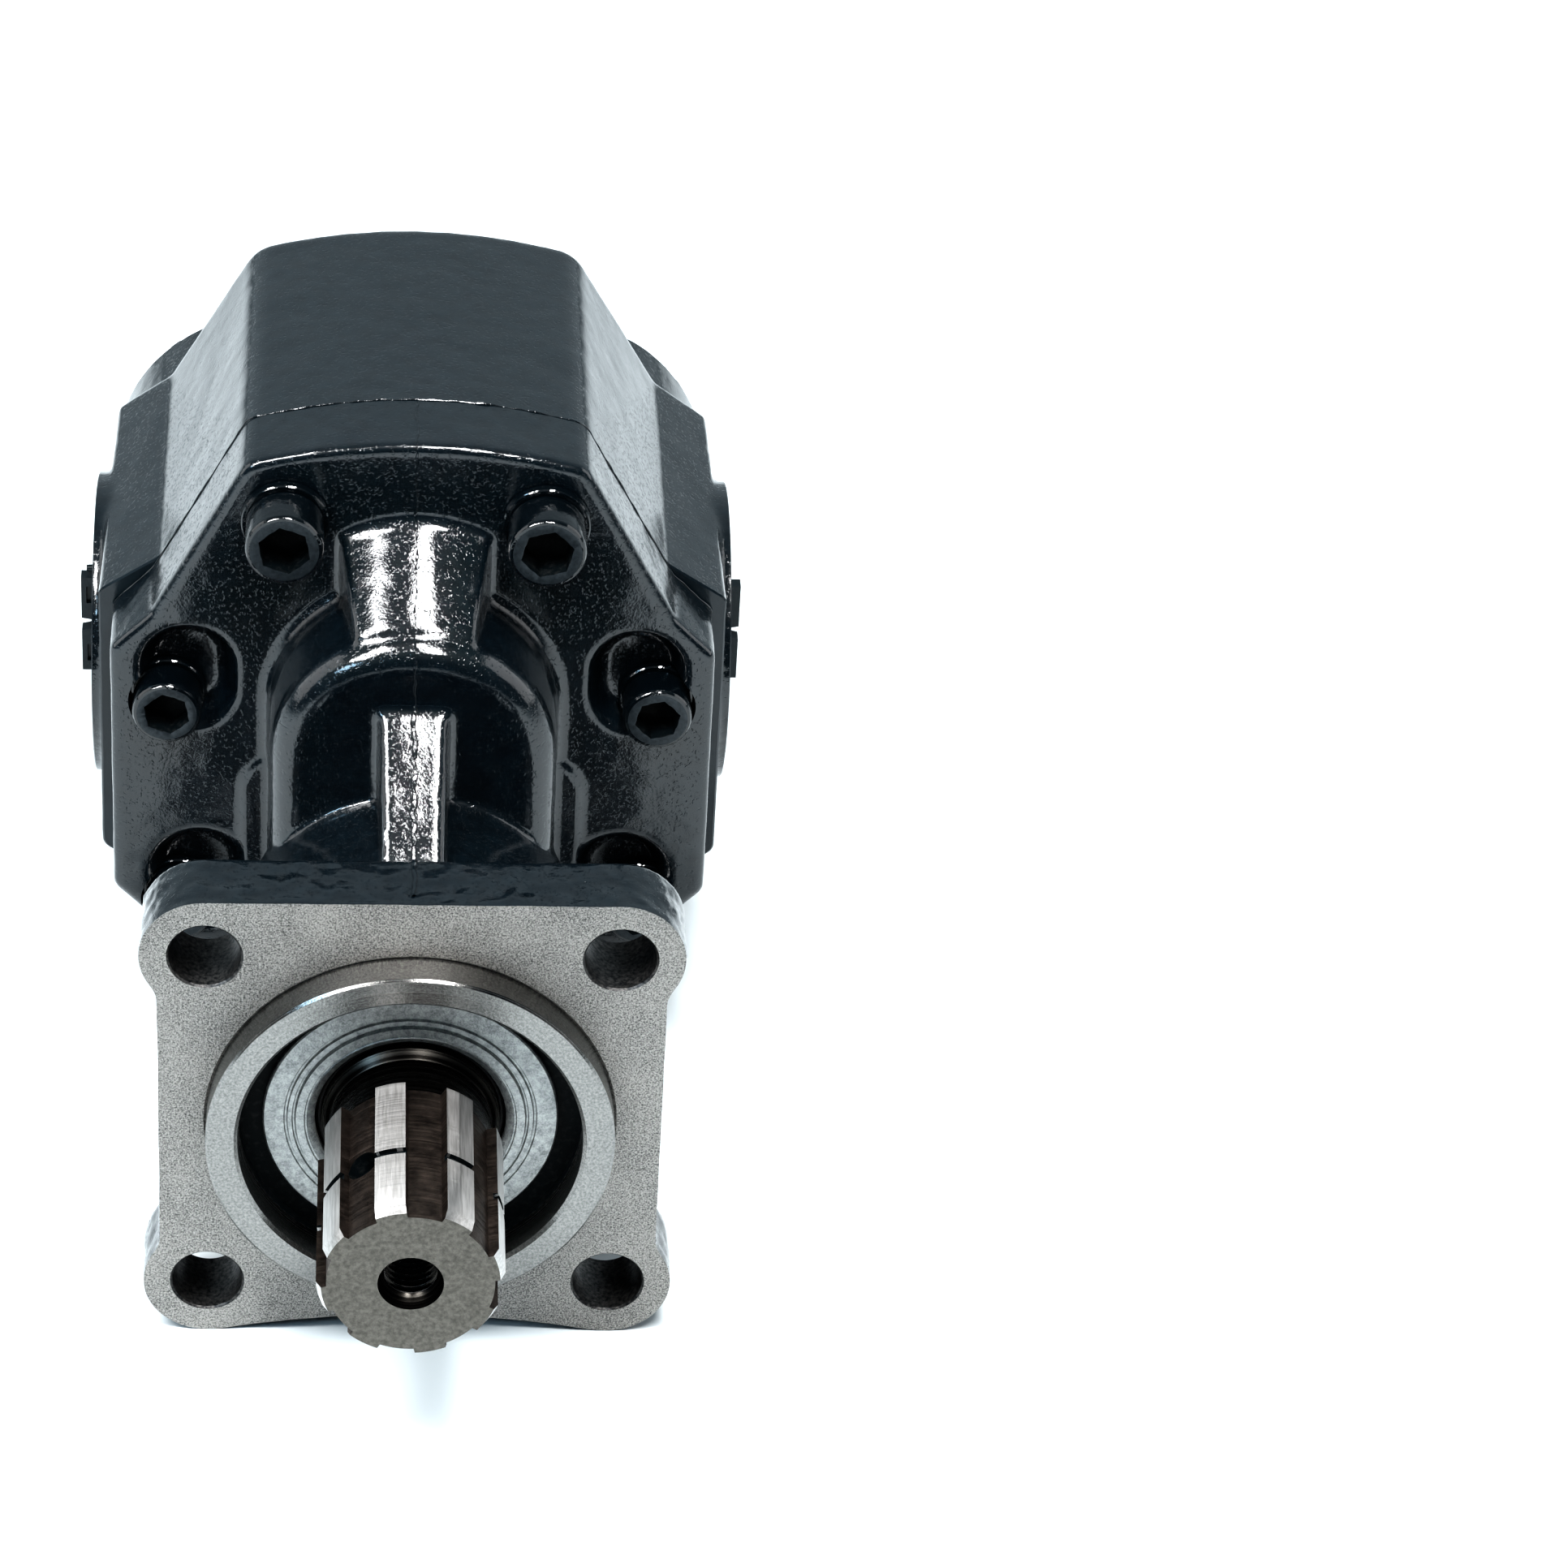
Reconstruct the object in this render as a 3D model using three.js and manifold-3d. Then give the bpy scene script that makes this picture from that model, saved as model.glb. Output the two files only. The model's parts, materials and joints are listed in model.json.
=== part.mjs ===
// A truck-mounted hydraulic gear pump: cast front cover with a four-bolt flange, gear housing with side
// ports, a splined drive shaft with its gear, a driven gear, bushes, thrust plates, seals and fasteners.
// Millimetres, +Z up. The shaft runs along Y, its splined end points to -Y, and +X is right, seen from there.
// Lengths along Y and heights are given from the mounting face on the shaft axis; the last lines move the
// whole pump so that the origin is at the bottom centre of its box.

import * as THREE from 'three';
import { mergeVertices } from 'three/addons/utils/BufferGeometryUtils.js';
import Module from 'manifold-3d';

const wasm = await Module();
wasm.setup();

// ---------- driving dimensions ----------

const GAP = 0.3;                 // free space between two neighbouring pieces
const CENTRES = 45;              // between the drive axis and the driven axis
const MIDDLE = CENTRES / 2;      // height of the ports and of the screw pattern's centre
const FLOOR = -52.7;             // underside of the flange, the cover and the housing

const FLANGE = { pitch: 80, hole: 14, ear: 12.7, half: 49.3, fillet: 6, arch: 8.7, thick: 15.5 };
const PILOT = { radius: 40, height: 7, recess: 33.75, floor: 3.2 };
const NECK_RADIUS = 34;
const BLOCK = { front: 64, half: 28.4, round: 5.5, top: 41, foot: -12 };

const COVER = { front: 89, rear: 107.5, top: 101, lug: 61.8, lugTop: 52 };
const HOUSING = { front: COVER.rear + GAP, rear: 184, top: 98.9, lug: 64.2, lugTop: 52, raise: 2.2 };
const PORT = { face: 67, boss: 32, thread: 15.2, passage: 12, y: 146 };
const PAD = { face: 222, radius: 36, centre: 30, z: 19.5, dip: 6, hole: 4.65, holeX: 54.5 };
const DOME = { foot: 36, edge: 32.8, end: 26.2, edgeY: 211, endY: 218.5 };
const LOWER_BOSS = { foot: 35.5, edge: 34, endY: 217 };

const GEAR = { teeth: 12, pressure: THREE.MathUtils.degToRad(25), tip: 26.3, root: 18.3, from: 115, to: 177 };
const JOURNAL = { radius: 18.2, front: 74, rear: 209 };
const POCKET = { radius: GEAR.tip + 0.4, end: 184 };
const BUSH = { outer: 21, length: 28, seat: 78 };
const PLATE = { thick: 6, radius: GEAR.tip };

const SPLINE = { radius: 18, root: 16, tooth: 6, end: -10.3, turn: 13.5 };
const SHAFT = { end: -49.5, body: 17.5, groove: -32.3 };
const SEAL = { outer: 26, width: 8, start: 5.5 };
const RETAINER = { outer: 29, hole: 18.8 };

const BIG_SCREW = { radius: 8.3, height: 10, shank: 5, socket: 4.6, washer: 9.1, washerThick: 2.2 };
const SMALL_SCREW = { radius: 7.2, height: 8, shank: 4, socket: 3.9, washer: 8, washerThick: 2 };
const SCREW_POCKET = { radius: 11.5, depth: 6, spot: 8.5 };
const THREAD_END = 128;
const SCREW_PLACES = [
  { name: 'top', x: 26.2, z: 84.3, size: BIG_SCREW },
  { name: 'upper', x: 50.2, z: 39.5, size: SMALL_SCREW, pocket: [48.3, 43] },
  { name: 'lower', x: 48.2, z: -10.4, size: SMALL_SCREW, pocket: [46.3, -2.5] },
  { name: 'bottom', x: 26.2, z: CENTRES - 84.3, size: BIG_SCREW },
];
const DOWEL = { radius: 4, from: 100, to: 116 };
const DOWEL_PLACES = [
  { name: 'dowel_pin_right', x: 40, z: 64 },
  { name: 'dowel_pin_left', x: -40, z: CENTRES - 64 },
];

const PLUG = { stem: 14.6, rim: 12, rimProud: 0.8, grip: 3, proud: 3.5, notch: 2.6 };

const FINE = 28;                 // facets round a bore, journal or boss
const COARSE = 12;               // facets round a screw, washer or other small piece

// ---------- materials ----------

const MATERIALS = {
  black_casting: { color: 0x0d1316, roughness: 0.28, metalness: 0.2 },
  shaft_steel: { color: 0x9a9690, roughness: 0.35, metalness: 1 },
  gear_steel: { color: 0x8d8d8c, roughness: 0.3, metalness: 1 },
  bearing_bronze: { color: 0xa37b45, roughness: 0.4, metalness: 1 },
  plate_aluminium: { color: 0xb9bcc0, roughness: 0.45, metalness: 1 },
  seal_rubber: { color: 0x131313, roughness: 0.75, metalness: 0 },
  spring_steel: { color: 0x9b9b9b, roughness: 0.3, metalness: 1 },
  zinc_plate: { color: 0xb4b8ba, roughness: 0.35, metalness: 1 },
  black_screw: { color: 0x14181a, roughness: 0.25, metalness: 0.6 },
  plug_plastic: { color: 0x111416, roughness: 0.45, metalness: 0 },
};

const pump = new THREE.Group();

function add(name, materialName, manifold) {
  const { vertProperties, triVerts } = manifold.getMesh();
  const indexed = new THREE.BufferGeometry();
  indexed.setAttribute('position', new THREE.BufferAttribute(vertProperties, 3));
  indexed.setIndex(new THREE.BufferAttribute(triVerts, 1));
  const geometry = indexed.toNonIndexed();
  geometry.computeVertexNormals();
  const mesh = new THREE.Mesh(geometry, new THREE.MeshStandardMaterial(MATERIALS[materialName]));
  mesh.name = name;
  pump.add(mesh);
}

// ---------- solids ----------

// A closed geometry as a solid: equal corners merged, empty triangles dropped, faces turned outwards.
function solid(geometry) {
  geometry.deleteAttribute('normal');
  geometry.deleteAttribute('uv');
  const merged = mergeVertices(geometry, 1e-4);
  const points = merged.attributes.position.array;
  const corner = (i) => new THREE.Vector3().fromArray(points, 3 * i);
  const triangles = [];
  let volume = 0;
  for (let i = 0; i < merged.index.count; i += 3) {
    const [a, b, c] = merged.index.array.slice(i, i + 3);
    if (a !== b && b !== c && c !== a) {
      triangles.push([a, b, c]);
      volume += corner(a).dot(corner(b).cross(corner(c)));
    }
  }
  const outward = volume > 0 ? triangles : triangles.map(([a, b, c]) => [a, c, b]);
  return new wasm.Manifold(new wasm.Mesh({
    numProp: 3,
    vertProperties: new Float32Array(points),
    triVerts: new Uint32Array(outward.flat()),
  }));
}

// A cylinder along Y, from y0 to y1, on the axis at (x, z).
function rod(radius, y0, y1, { x = 0, z = 0, sides = FINE, tip = radius } = {}) {
  const geometry = new THREE.CylinderGeometry(tip, radius, y1 - y0, sides);
  return solid(geometry.translate(x, (y0 + y1) / 2, z));
}

// A cylinder along X.
function crossRod(radius, x0, x1, { y, z, sides = FINE }) {
  const geometry = new THREE.CylinderGeometry(radius, radius, x1 - x0, sides);
  return solid(geometry.rotateZ(Math.PI / 2).translate((x0 + x1) / 2, y, z));
}

// A closed profile of [radius, y] corners turned about the Y axis at height z.
function turned(corners, { x = 0, z = 0, sides = FINE } = {}) {
  const profile = [...corners, corners[0]].map(([radius, y]) => new THREE.Vector2(radius, y));
  return solid(new THREE.LatheGeometry(profile, sides).translate(x, 0, z));
}

// A shape drawn in X and Z, pushed from y0 to y1. bevel rounds both of its ends, outside the shape.
function pushed(shape, y0, y1, { bevel = 0, steps = 1, curveSegments = 2 } = {}) {
  const geometry = new THREE.ExtrudeGeometry(shape, {
    depth: y1 - y0 - 2 * bevel,
    curveSegments,
    bevelEnabled: bevel > 0,
    bevelThickness: bevel,
    bevelSize: bevel,
    bevelSegments: steps,
  });
  return solid(geometry.rotateX(Math.PI / 2).translate(0, y1 - bevel, 0));
}

// A shape drawn in Y and Z, pushed equally to both sides of X = 0.
function pushedAcross(shape, width) {
  const geometry = new THREE.ExtrudeGeometry(shape, { depth: width, bevelEnabled: false });
  geometry.rotateX(Math.PI / 2).rotateZ(Math.PI / 2);
  return solid(geometry.translate(-width / 2, 0, 0));
}

function join(...solids) {
  return solids.reduce((whole, part) => whole.add(part));
}

function cut(whole, ...tools) {
  return tools.reduce((left, tool) => left.subtract(tool), whole);
}

// An outline through corners [x, z, radius], with an arc of that radius at each corner.
function roundedShape(corners) {
  const shape = new THREE.Shape();
  corners.forEach(([x, z, radius = 0], i) => {
    const here = new THREE.Vector2(x, z);
    const before = new THREE.Vector2(...corners.at(i - 1)).sub(here).normalize();
    const after = new THREE.Vector2(...corners[(i + 1) % corners.length]).sub(here).normalize();
    const half = Math.acos(THREE.MathUtils.clamp(before.dot(after), -1, 1)) / 2;
    const reach = radius / Math.tan(half);
    const start = here.clone().addScaledVector(before, reach);
    const end = here.clone().addScaledVector(after, reach);
    if (i === 0) {
      shape.moveTo(start.x, start.y);
    } else {
      shape.lineTo(start.x, start.y);
    }
    if (radius > 0) {
      const middle = before.add(after).normalize().multiplyScalar(radius / Math.sin(half)).add(here);
      const from = start.sub(middle).angle();
      const to = end.clone().sub(middle).angle();
      const turn = (to - from + 2 * Math.PI) % (2 * Math.PI);
      shape.absarc(middle.x, middle.y, radius, from, to, turn > Math.PI);
    }
  });
  shape.closePath();
  return shape;
}

// The right-hand corners of an outline, from top to bottom, followed by their mirror images on the left.
function mirrored(right) {
  const left = right.filter(([x]) => x !== 0).map(([x, z, radius]) => [-x, z, radius]);
  return [...right, ...left.reverse()];
}

function roundHole(x, z, radius) {
  const hole = new THREE.Path();
  hole.absarc(x, z, radius, 0, 2 * Math.PI);
  return hole;
}

// ---------- cover and housing outlines ----------

// The outline that the cover and the housing share: a crowned top, sloping shoulders, side lugs that reach
// as far above the middle height as below it, and a flat foot at the floor.
function bodyShape({ top, lug, lugTop, raise = 0 }) {
  return roundedShape(mirrored([
    [0, top + 3.8, 116],
    [34, top - 4.6, 5],
    [53.4 - raise / 2, 60.5 + raise, 3],
    [lug, lugTop + raise, 3],
    [lug, CENTRES - lugTop - raise, 3],
    [56, CENTRES - 58 - raise, 3],
    [38, FLOOR + 1.5, 5],
    [34, FLOOR, 5],
  ]));
}

// A long hole's outline, with its two ends round the drive axis and the driven axis.
function pairShape(radius) {
  const shape = new THREE.Shape();
  shape.absarc(0, 0, radius, Math.PI, 2 * Math.PI);
  shape.absarc(0, CENTRES, radius, 0, Math.PI);
  shape.closePath();
  return shape;
}

function twoBores(radius, y0, y1) {
  return join(rod(radius, y0, y1), rod(radius, y0, y1, { z: CENTRES }));
}

// ---------- front cover ----------

// A square with a round ear at each corner: straight across the top, drawn in at the sides and arched
// underneath.
function flangeShape() {
  const ear = FLANGE.pitch / 2;
  const { ear: round, half, fillet, arch } = FLANGE;
  const down = Math.sqrt((round + fillet) ** 2 - (half + fillet - ear) ** 2);
  const lean = Math.atan2(down, half + fillet - ear);
  const bow = (ear ** 2 + arch ** 2 - round ** 2) / (2 * (round - arch));
  const tilt = Math.atan2(ear, bow + arch);
  const shape = new THREE.Shape();
  shape.absarc(half + fillet, ear - down, fillet, Math.PI, Math.PI - lean, true);
  shape.absarc(ear, ear, round, -lean, Math.PI / 2);
  shape.absarc(-ear, ear, round, Math.PI / 2, Math.PI + lean);
  shape.absarc(-half - fillet, ear - down, fillet, lean, 0, true);
  shape.absarc(-half - fillet, down - ear, fillet, 0, -lean, true);
  shape.absarc(-ear, -ear, round, Math.PI - lean, 1.5 * Math.PI + tilt);
  shape.absarc(0, -ear - arch - bow, bow, Math.PI / 2 + tilt, Math.PI / 2 - tilt, true);
  shape.absarc(ear, -ear, round, 1.5 * Math.PI - tilt, 2 * Math.PI + lean);
  shape.absarc(half + fillet, down - ear, fillet, Math.PI + lean, Math.PI, true);
  shape.closePath();
  return shape;
}

function flange() {
  const ear = FLANGE.pitch / 2;
  const shape = flangeShape();
  for (const x of [-ear, ear]) {
    for (const z of [-ear, ear]) {
      shape.holes.push(roundHole(x, z, FLANGE.hole / 2));
    }
  }
  return pushed(shape, 0, FLANGE.thick, { curveSegments: 5 });
}

// A round-topped, straight-sided shape over the driven axis. Its foot is inside the neck.
function archShape(half) {
  const shape = new THREE.Shape();
  shape.absarc(0, BLOCK.top, half, 0, Math.PI);
  shape.lineTo(-half, BLOCK.foot);
  shape.lineTo(half, BLOCK.foot);
  shape.closePath();
  return shape;
}

function noseBlock() {
  const nose = pushed(archShape(BLOCK.half - BLOCK.round), BLOCK.front, COVER.front + 8, {
    bevel: BLOCK.round,
    steps: 2,
    curveSegments: 10,
  });
  const foot = pushed(archShape(BLOCK.half), COVER.front - 6, COVER.front + 7, {
    bevel: 6,
    curveSegments: 10,
  });
  return join(nose, foot);
}

// The sloping boss over the driven gear's front bearing.
function hood() {
  return pushedAcross(roundedShape([
    [67, 60, 0],
    [68, 69.5, 3],
    [COVER.front + 1, 84.5, 0],
    [COVER.front + 1, 60, 0],
  ]), 27);
}

// The web between the nose block and the neck.
function rib() {
  const inside = BLOCK.front + 6;
  return pushedAcross(roundedShape([[37, 30], [37, 33.5], [inside, 60.4], [inside, 30]]), 13);
}

function shaftBore() {
  const seals = SEAL.start + 2 * SEAL.width + 1.5;
  return turned([
    [0, -PILOT.height - 1],
    [PILOT.recess + 1, -PILOT.height - 1],
    [PILOT.recess, -PILOT.height + 1],
    [PILOT.recess, PILOT.floor],
    [SEAL.outer + GAP, PILOT.floor],
    [SEAL.outer + GAP, seals],
    [JOURNAL.radius + 2, seals],
    [JOURNAL.radius + 2, BUSH.seat],
    [BUSH.outer + GAP, BUSH.seat],
    [BUSH.outer + GAP, COVER.rear + 1],
    [0, COVER.rear + 1],
  ]);
}

function seatOf(pocket) {
  return COVER.front + (pocket ? SCREW_POCKET.depth : 0);
}

function screwHoles() {
  const holes = [];
  for (const { x, z, size, pocket } of SCREW_PLACES) {
    for (const side of [-1, 1]) {
      holes.push(rod(size.shank + 0.5, 60, THREAD_END + 3, { x: side * x, z, sides: COARSE }));
      if (pocket) {
        const [pocketX, pocketZ] = pocket;
        const seat = seatOf(pocket);
        holes.push(rod(SCREW_POCKET.radius, BLOCK.front, seat, { x: side * pocketX, z: pocketZ }));
        holes.push(rod(SCREW_POCKET.spot, BLOCK.front, seat, { x: side * x, z }));
      }
    }
  }
  return holes;
}

function dowelHoles() {
  return DOWEL_PLACES.map(({ x, z }) => {
    return rod(DOWEL.radius + GAP, DOWEL.from - GAP, DOWEL.to + GAP, { x, z, sides: COARSE });
  });
}

function frontCover() {
  const casting = join(
    flange(),
    rod(PILOT.radius, -PILOT.height, 2),
    rod(NECK_RADIUS, FLANGE.thick / 2, COVER.front + 6),
    noseBlock(),
    hood(),
    rib(),
    pushed(bodyShape(COVER), COVER.front, COVER.rear),
  );
  const drivenBore = rod(BUSH.outer + GAP, BUSH.seat, COVER.rear + 1, { z: CENTRES });
  return cut(casting, shaftBore(), drivenBore, ...screwHoles(), ...dowelHoles());
}

// ---------- gear housing ----------

// The rear pad: a long round-ended outline whose top edge dips in the middle to clear the dome.
function padShape() {
  const { radius, centre, z, dip } = PAD;
  const shape = new THREE.Shape();
  shape.absarc(centre, z, radius, -Math.PI / 2, Math.PI / 2);
  shape.bezierCurveTo(centre - 14, z + radius, 15, z + radius - dip, 0, z + radius - dip);
  shape.bezierCurveTo(-15, z + radius - dip, 14 - centre, z + radius, -centre, z + radius);
  shape.absarc(-centre, z, radius, Math.PI / 2, 1.5 * Math.PI);
  shape.closePath();
  return shape;
}

function sealGroove(width, from, to) {
  const radius = POCKET.radius + 4.2;
  const oval = (size, y0, y1) => pushed(pairShape(size), y0, y1, { curveSegments: 9 });
  return oval(radius + width / 2, from, to).subtract(oval(radius - width / 2, from - 1, to + 1));
}

function dome() {
  return turned([
    [0, HOUSING.rear - 4],
    [DOME.foot, HOUSING.rear - 4],
    [DOME.edge, DOME.edgeY],
    [DOME.end, DOME.endY],
    [0, DOME.endY],
  ], { z: CENTRES });
}

function portPassage(side) {
  const { face, thread, passage, y } = PORT;
  const place = { y, z: MIDDLE };
  const mouth = crossRod(thread, side > 0 ? 42 : -face - 1, side > 0 ? face + 1 : -42, place);
  const inner = crossRod(passage, side > 0 ? 6 : -43, side > 0 ? 43 : -6, place);
  return join(mouth, inner);
}

function gearHousing() {
  const casting = join(
    pushed(bodyShape(HOUSING), HOUSING.front, HOUSING.rear),
    crossRod(PORT.boss, -PORT.face, PORT.face, { y: PORT.y, z: MIDDLE }),
    pushed(padShape(), HOUSING.rear - 4, PAD.face, { curveSegments: 10 }),
    dome(),
    rod(LOWER_BOSS.foot, HOUSING.rear - 4, LOWER_BOSS.endY, { tip: LOWER_BOSS.edge }),
  );
  const padHoles = [-1, 1].map((side) => {
    return rod(PAD.hole, PAD.face - 22, PAD.face + 1, { x: side * PAD.holeX, z: PAD.z, sides: COARSE });
  });
  return cut(
    casting,
    twoBores(POCKET.radius, HOUSING.front - 1, POCKET.end),
    twoBores(BUSH.outer + GAP, POCKET.end - 1, POCKET.end + BUSH.length + 1),
    portPassage(1),
    portPassage(-1),
    sealGroove(3.4, HOUSING.front - 1, HOUSING.front + 2.4),
    ...padHoles,
    ...screwHoles(),
    ...dowelHoles(),
  );
}

// ---------- gears and shaft ----------

// Half the angle that a tooth covers at a radius, for an involute flank with a little backlash.
function halfTooth(radius) {
  const pitch = CENTRES / 2;
  const base = pitch * Math.cos(GEAR.pressure);
  const backlash = 0.014;
  const involute = (angle) => Math.tan(angle) - angle;
  const at = Math.acos(Math.min(1, base / Math.max(radius, base)));
  return Math.PI / (2 * GEAR.teeth) - backlash + involute(GEAR.pressure) - involute(at);
}

function gearShape(phase) {
  const rise = [GEAR.root, 20.8, 23, GEAR.tip];
  const points = [];
  for (let tooth = 0; tooth < GEAR.teeth; tooth += 1) {
    const centre = phase + (2 * Math.PI * tooth) / GEAR.teeth;
    const flank = (radius, side) => {
      const angle = centre + side * halfTooth(radius);
      points.push(new THREE.Vector2(radius * Math.cos(angle), radius * Math.sin(angle)));
    };
    rise.forEach((radius) => flank(radius, -1));
    rise.toReversed().forEach((radius) => flank(radius, 1));
  }
  return new THREE.Shape(points);
}

// Eight straight-sided teeth on the shaft end.
function splineShape() {
  const points = [];
  for (let tooth = 0; tooth < 8; tooth += 1) {
    const centre = Math.PI / 2 + THREE.MathUtils.degToRad(SPLINE.turn + 45 * tooth);
    const add = (radius, offset) => {
      const angle = centre + offset;
      points.push(new THREE.Vector2(radius * Math.cos(angle), radius * Math.sin(angle)));
    };
    const tip = Math.asin(SPLINE.tooth / 2 / SPLINE.radius);
    const foot = Math.asin(SPLINE.tooth / 2 / SPLINE.root);
    add(SPLINE.root, -foot);
    add(SPLINE.radius, -tip);
    add(SPLINE.radius, 0);
    add(SPLINE.radius, tip);
    add(SPLINE.root, foot);
    add(SPLINE.root, Math.PI / 8);
  }
  return new THREE.Shape(points);
}

function ringCut(outer, inner, y0, y1) {
  return turned([[inner, y0], [outer, y0], [outer, y1], [inner, y1]]);
}

function driveShaft() {
  const splines = pushed(splineShape(), SHAFT.end, SPLINE.end).intersect(turned([
    [0, SHAFT.end],
    [SPLINE.root - 0.4, SHAFT.end],
    [SPLINE.radius + 0.1, SHAFT.end + 2.5],
    [SPLINE.radius + 0.1, SPLINE.end],
    [0, SPLINE.end],
  ]));
  const body = turned([
    [0, SHAFT.end + 5],
    [SPLINE.root - 0.2, SHAFT.end + 5],
    [SPLINE.root - 0.2, 0],
    [SHAFT.body, 1.2],
    [SHAFT.body, JOURNAL.front],
    [JOURNAL.radius, JOURNAL.front],
    [JOURNAL.radius, JOURNAL.rear - 1],
    [JOURNAL.radius - 1, JOURNAL.rear],
    [0, JOURNAL.rear],
  ]);
  const screwHole = turned([
    [0, SHAFT.end - 1],
    [7.9, SHAFT.end - 1],
    [6.4, SHAFT.end + 1.2],
    [5.2, SHAFT.end + 2],
    [5.2, SHAFT.end + 26],
    [0, SHAFT.end + 29],
  ], { sides: COARSE });
  const gear = pushed(gearShape(Math.PI / 2), GEAR.from, GEAR.to);
  return cut(
    join(splines, body, gear),
    screwHole,
    ringCut(SPLINE.radius + 1, SPLINE.radius - 0.9, SHAFT.groove, SHAFT.groove + 1.6),
  );
}

function drivenGear() {
  const body = turned([
    [0, BUSH.seat + 2],
    [JOURNAL.radius - 1, BUSH.seat + 2],
    [JOURNAL.radius, BUSH.seat + 3],
    [JOURNAL.radius, JOURNAL.rear - 1],
    [JOURNAL.radius - 1, JOURNAL.rear],
    [0, JOURNAL.rear],
  ]);
  const gear = pushed(gearShape(Math.PI / 2 + Math.PI / GEAR.teeth), GEAR.from, GEAR.to);
  return join(body, gear).translate([0, 0, CENTRES]);
}

// ---------- bearings, thrust plates and seals ----------

function bush(from, z) {
  const bore = JOURNAL.radius + GAP;
  const to = from + BUSH.length;
  return turned([[bore, from], [BUSH.outer, from], [BUSH.outer, to], [bore, to]], { z });
}

function sealTrack(from, to, spare) {
  const outer = twoBores(24.2 + spare, from, to);
  return outer.subtract(twoBores(22.2 - spare, from - 1, to + 1));
}

function thrustPlate(from, sealFrom, sealTo) {
  const plate = twoBores(PLATE.radius, from, from + PLATE.thick);
  const bores = twoBores(JOURNAL.radius + GAP, from - 1, from + PLATE.thick + 1);
  return cut(plate, bores, sealTrack(sealFrom, sealTo, GAP));
}

// A lip seal: a stiff outer band, a web and a lip that reaches in to the shaft, with a groove for its spring.
function lipSeal(from) {
  const to = from + SEAL.width - GAP;
  const lip = SHAFT.body + GAP;
  return turned([
    [SEAL.outer, from],
    [SEAL.outer, to],
    [SEAL.outer - 2, to],
    [SEAL.outer - 2, from + 2],
    [lip + 3.4, from + 2],
    [lip + 1.6, to - 2.6],
    [lip + 0.8, to],
    [lip, to - 1.6],
    [lip, from],
  ]);
}

function garterSpring(from) {
  const centre = SHAFT.body + GAP + 2.6;
  const y = from + SEAL.width - 1.8;
  return solid(new THREE.TorusGeometry(centre, 0.6, 5, COARSE).rotateX(Math.PI / 2).translate(0, y, 0));
}

function sealRetainer() {
  const back = PILOT.floor - GAP;
  return turned([
    [RETAINER.outer, back],
    [RETAINER.outer, back - 1.7],
    [23.4, back - 1.7],
    [23, back - 2.3],
    [20.6, back - 2.3],
    [RETAINER.hole, back - 1.5],
    [RETAINER.hole, back],
  ]);
}

function sealCirclip() {
  return turned([
    [23, PILOT.floor + 0.4],
    [SEAL.outer, PILOT.floor + 0.4],
    [SEAL.outer, SEAL.start - GAP],
    [23, SEAL.start - GAP],
  ], { sides: COARSE });
}

// ---------- fasteners and plugs ----------

// A socket-head cap screw, its head towards -Y.
function capScrew({ radius, height, shank, socket, washerThick }, seat, x, z) {
  const under = seat - washerThick - 2 * GAP;
  const top = under - height;
  const head = turned([
    [0, top],
    [radius - 0.8, top],
    [radius, top + 0.8],
    [radius, under],
    [shank, under],
    [shank, THREAD_END],
    [0, THREAD_END],
  ], { sides: COARSE });
  const hex = rod(socket, top - 1, top + height * 0.55, { sides: 6 });
  return head.subtract(hex).translate([x, 0, z]);
}

function washer({ shank, washer: outer, washerThick }, seat, x, z) {
  const to = seat - GAP;
  const from = to - washerThick;
  const bore = shank + 0.35;
  return turned([[bore, from], [outer, from], [outer, to], [bore, to]], { x, z, sides: COARSE });
}

// A moulded shipping plug, pushed into a port: a hollow stem, a round rim and a grip bar with a notch in it.
function portPlug(side) {
  const place = { y: PORT.y, z: MIDDLE };
  const rodAt = (radius, from, to) => {
    return crossRod(radius, Math.min(side * from, side * to), Math.max(side * from, side * to), {
      ...place,
      sides: COARSE,
    });
  };
  const barAt = (from, to, alongY, alongZ) => {
    const box = new THREE.BoxGeometry(to - from, alongY, alongZ);
    return solid(box.translate(side * (from + to) / 2, PORT.y, MIDDLE));
  };
  const { face } = PORT;
  const { stem, rim, rimProud, grip, proud, notch } = PLUG;
  const whole = join(
    rodAt(stem, face - 12, face),
    rodAt(rim, face - 1, face + rimProud),
    barAt(face - 1, face + proud, grip, 2 * rim - 0.6),
  );
  const hollow = rodAt(stem - 2.6, face - 13, face - 2);
  return cut(whole, hollow, barAt(face + rimProud, face + proud + 1, 2 * grip, notch));
}

// ---------- assembly ----------

add('front_cover', 'black_casting', frontCover());
add('gear_housing', 'black_casting', gearHousing());
add('drive_shaft', 'shaft_steel', driveShaft());
add('driven_gear', 'gear_steel', drivenGear());

const frontBush = COVER.rear - BUSH.length - 0.5;
const rearBush = POCKET.end + GAP;
add('drive_front_bush', 'bearing_bronze', bush(frontBush, 0));
add('drive_rear_bush', 'bearing_bronze', bush(rearBush, 0));
add('driven_front_bush', 'bearing_bronze', bush(frontBush, CENTRES));
add('driven_rear_bush', 'bearing_bronze', bush(rearBush, CENTRES));

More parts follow.
